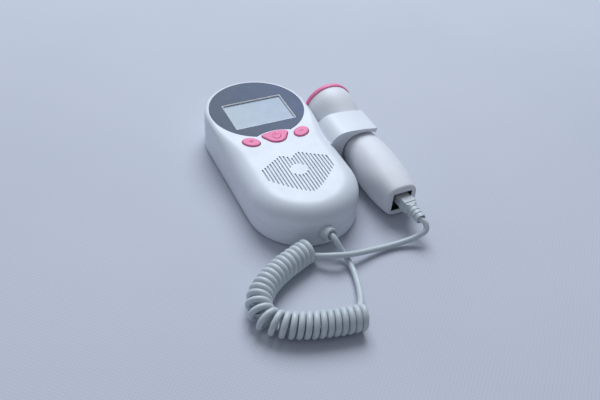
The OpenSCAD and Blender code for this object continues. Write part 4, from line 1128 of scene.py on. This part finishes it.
# each row is (radius, height over the case): a collar, a cone and a hollow mouth
glandRows = [(4.2, -1.5), (4.5, 0.2), (4.6, 0.5), (4.55, 0.9), (4.36, 1.5), (4.22, 2.6), (4.05, 3.9),
             (3.9, 4.7), (3.82, 4.98), (3.66, 5.12), (3.4, 5.16), (2.85, 5.16), (2.68, 5.08), (2.6, 4.8),
             (2.5, 4.2), (1.95, 3.9)]

plugBoot = makePlugBoot()
plugBody = makePlugBody()
gland = asObject("cordGland", moved(lathe(glandRows, 72), glandTurn, glandSpot), 45)
enlist(plugBoot, "cord", "plug", "cord_pvc", "plug_boot")
enlist(plugBody, "clear", "plug", "clear_plug", "plug_housing")
enlist(gland, "cord", "case", "cord_pvc", "cord_gland")
print("plug and gland made")


# floor and light

stageForm = {"half": 4500.0, "colour": "#C8CBD5", "shade": "#C3C6D1", "thread": "#D6D9E2", "weave": 1.8,
             "world": "#D5DEEE", "worldLight": 0.36, "lean": (-0.2, 0.4, 0.0), "keyPower": 46.5,
             "keySize": 1.7, "keyPlace": (0.55, 1.3, 1.75), "keyAim": (0.0, -0.03, 0.0),
             "keyColour": "#EEF6FF"}


def tableCloth():
    # pale woven cloth: threads cross at 45 degrees; a wave's period is 2 pi / (20 * Scale)
    f = stageForm
    material, tree, coords = startMaterial("paleTableCloth", Roughness=0.75)
    slanted = addNode(tree, "ShaderNodeMapping", {"Vector": coords, "Rotation": (0, 0, np.radians(45))})
    bands = [addNode(tree, "ShaderNodeTexWave",
                     {"Vector": slanted, "Scale": 2 * np.pi / 20 / (f["weave"] * mm), "Distortion": 0.6},
                     "Fac", bands_direction=axis) for axis in "XY"]
    weave = addNode(tree, "ShaderNodeMath", {0: bands[0], 1: bands[1]}, operation="MULTIPLY")
    colour = mottle(tree, coords, f["colour"], f["shade"], (160, 3, 0.5))
    share = addNode(tree, "ShaderNodeMapRange", {"Value": weave, "To Max": 0.45})
    colour = addNode(tree, "ShaderNodeMix", {0: share, 6: colour, 7: f["thread"]}, 2, data_type="RGBA")
    relief = addNode(tree, "ShaderNodeBump", {"Height": weave, "Strength": 0.2, "Distance": 0.1 * mm})
    return finishMaterial(material, colour, None, relief)


def makeFloor():
    s = stageForm["half"]
    floor = asObject("floor", (np.array([[-s, -s, 0], [s, -s, 0], [s, s, 0], [-s, s, 0]]), [[0, 1, 2, 3]]))
    floor.data.materials.append(tableCloth())


def makeWorld():
    # brightness by direction: worldLight * (1 + lean . direction)
    level = stageForm["worldLight"]
    world = bpy.data.worlds.new("paleRoom")
    world.use_nodes = True
    tree = world.node_tree
    background = tree.nodes["Background"]
    background.inputs[0].default_value = rgb(stageForm["world"])
    look = addNode(tree, "ShaderNodeTexCoord", output="Generated")
    lean = addNode(tree, "ShaderNodeVectorMath", {0: look, 1: stageForm["lean"]}, "Value",
                   operation="DOT_PRODUCT")
    light = addNode(tree, "ShaderNodeMath", {0: lean, 1: level, 2: level}, operation="MULTIPLY_ADD")
    tree.links.new(light, background.inputs[1])
    bpy.context.scene.world = world


def makeKeyLight():
    f = stageForm
    data = bpy.data.lights.new("key", "AREA")
    data.energy, data.shape, data.size = f["keyPower"], "DISK", f["keySize"]
    data.color = rgb(f["keyColour"])[:3]
    place = np.array(f["keyPlace"])
    addAt(bpy.data.objects.new("key", data), facing(unitRows(place - np.array(f["keyAim"]))), place)


makeFloor()
makeWorld()
makeKeyLight()
bpy.context.scene.view_settings.view_transform = "Standard"
print("stage and light set")
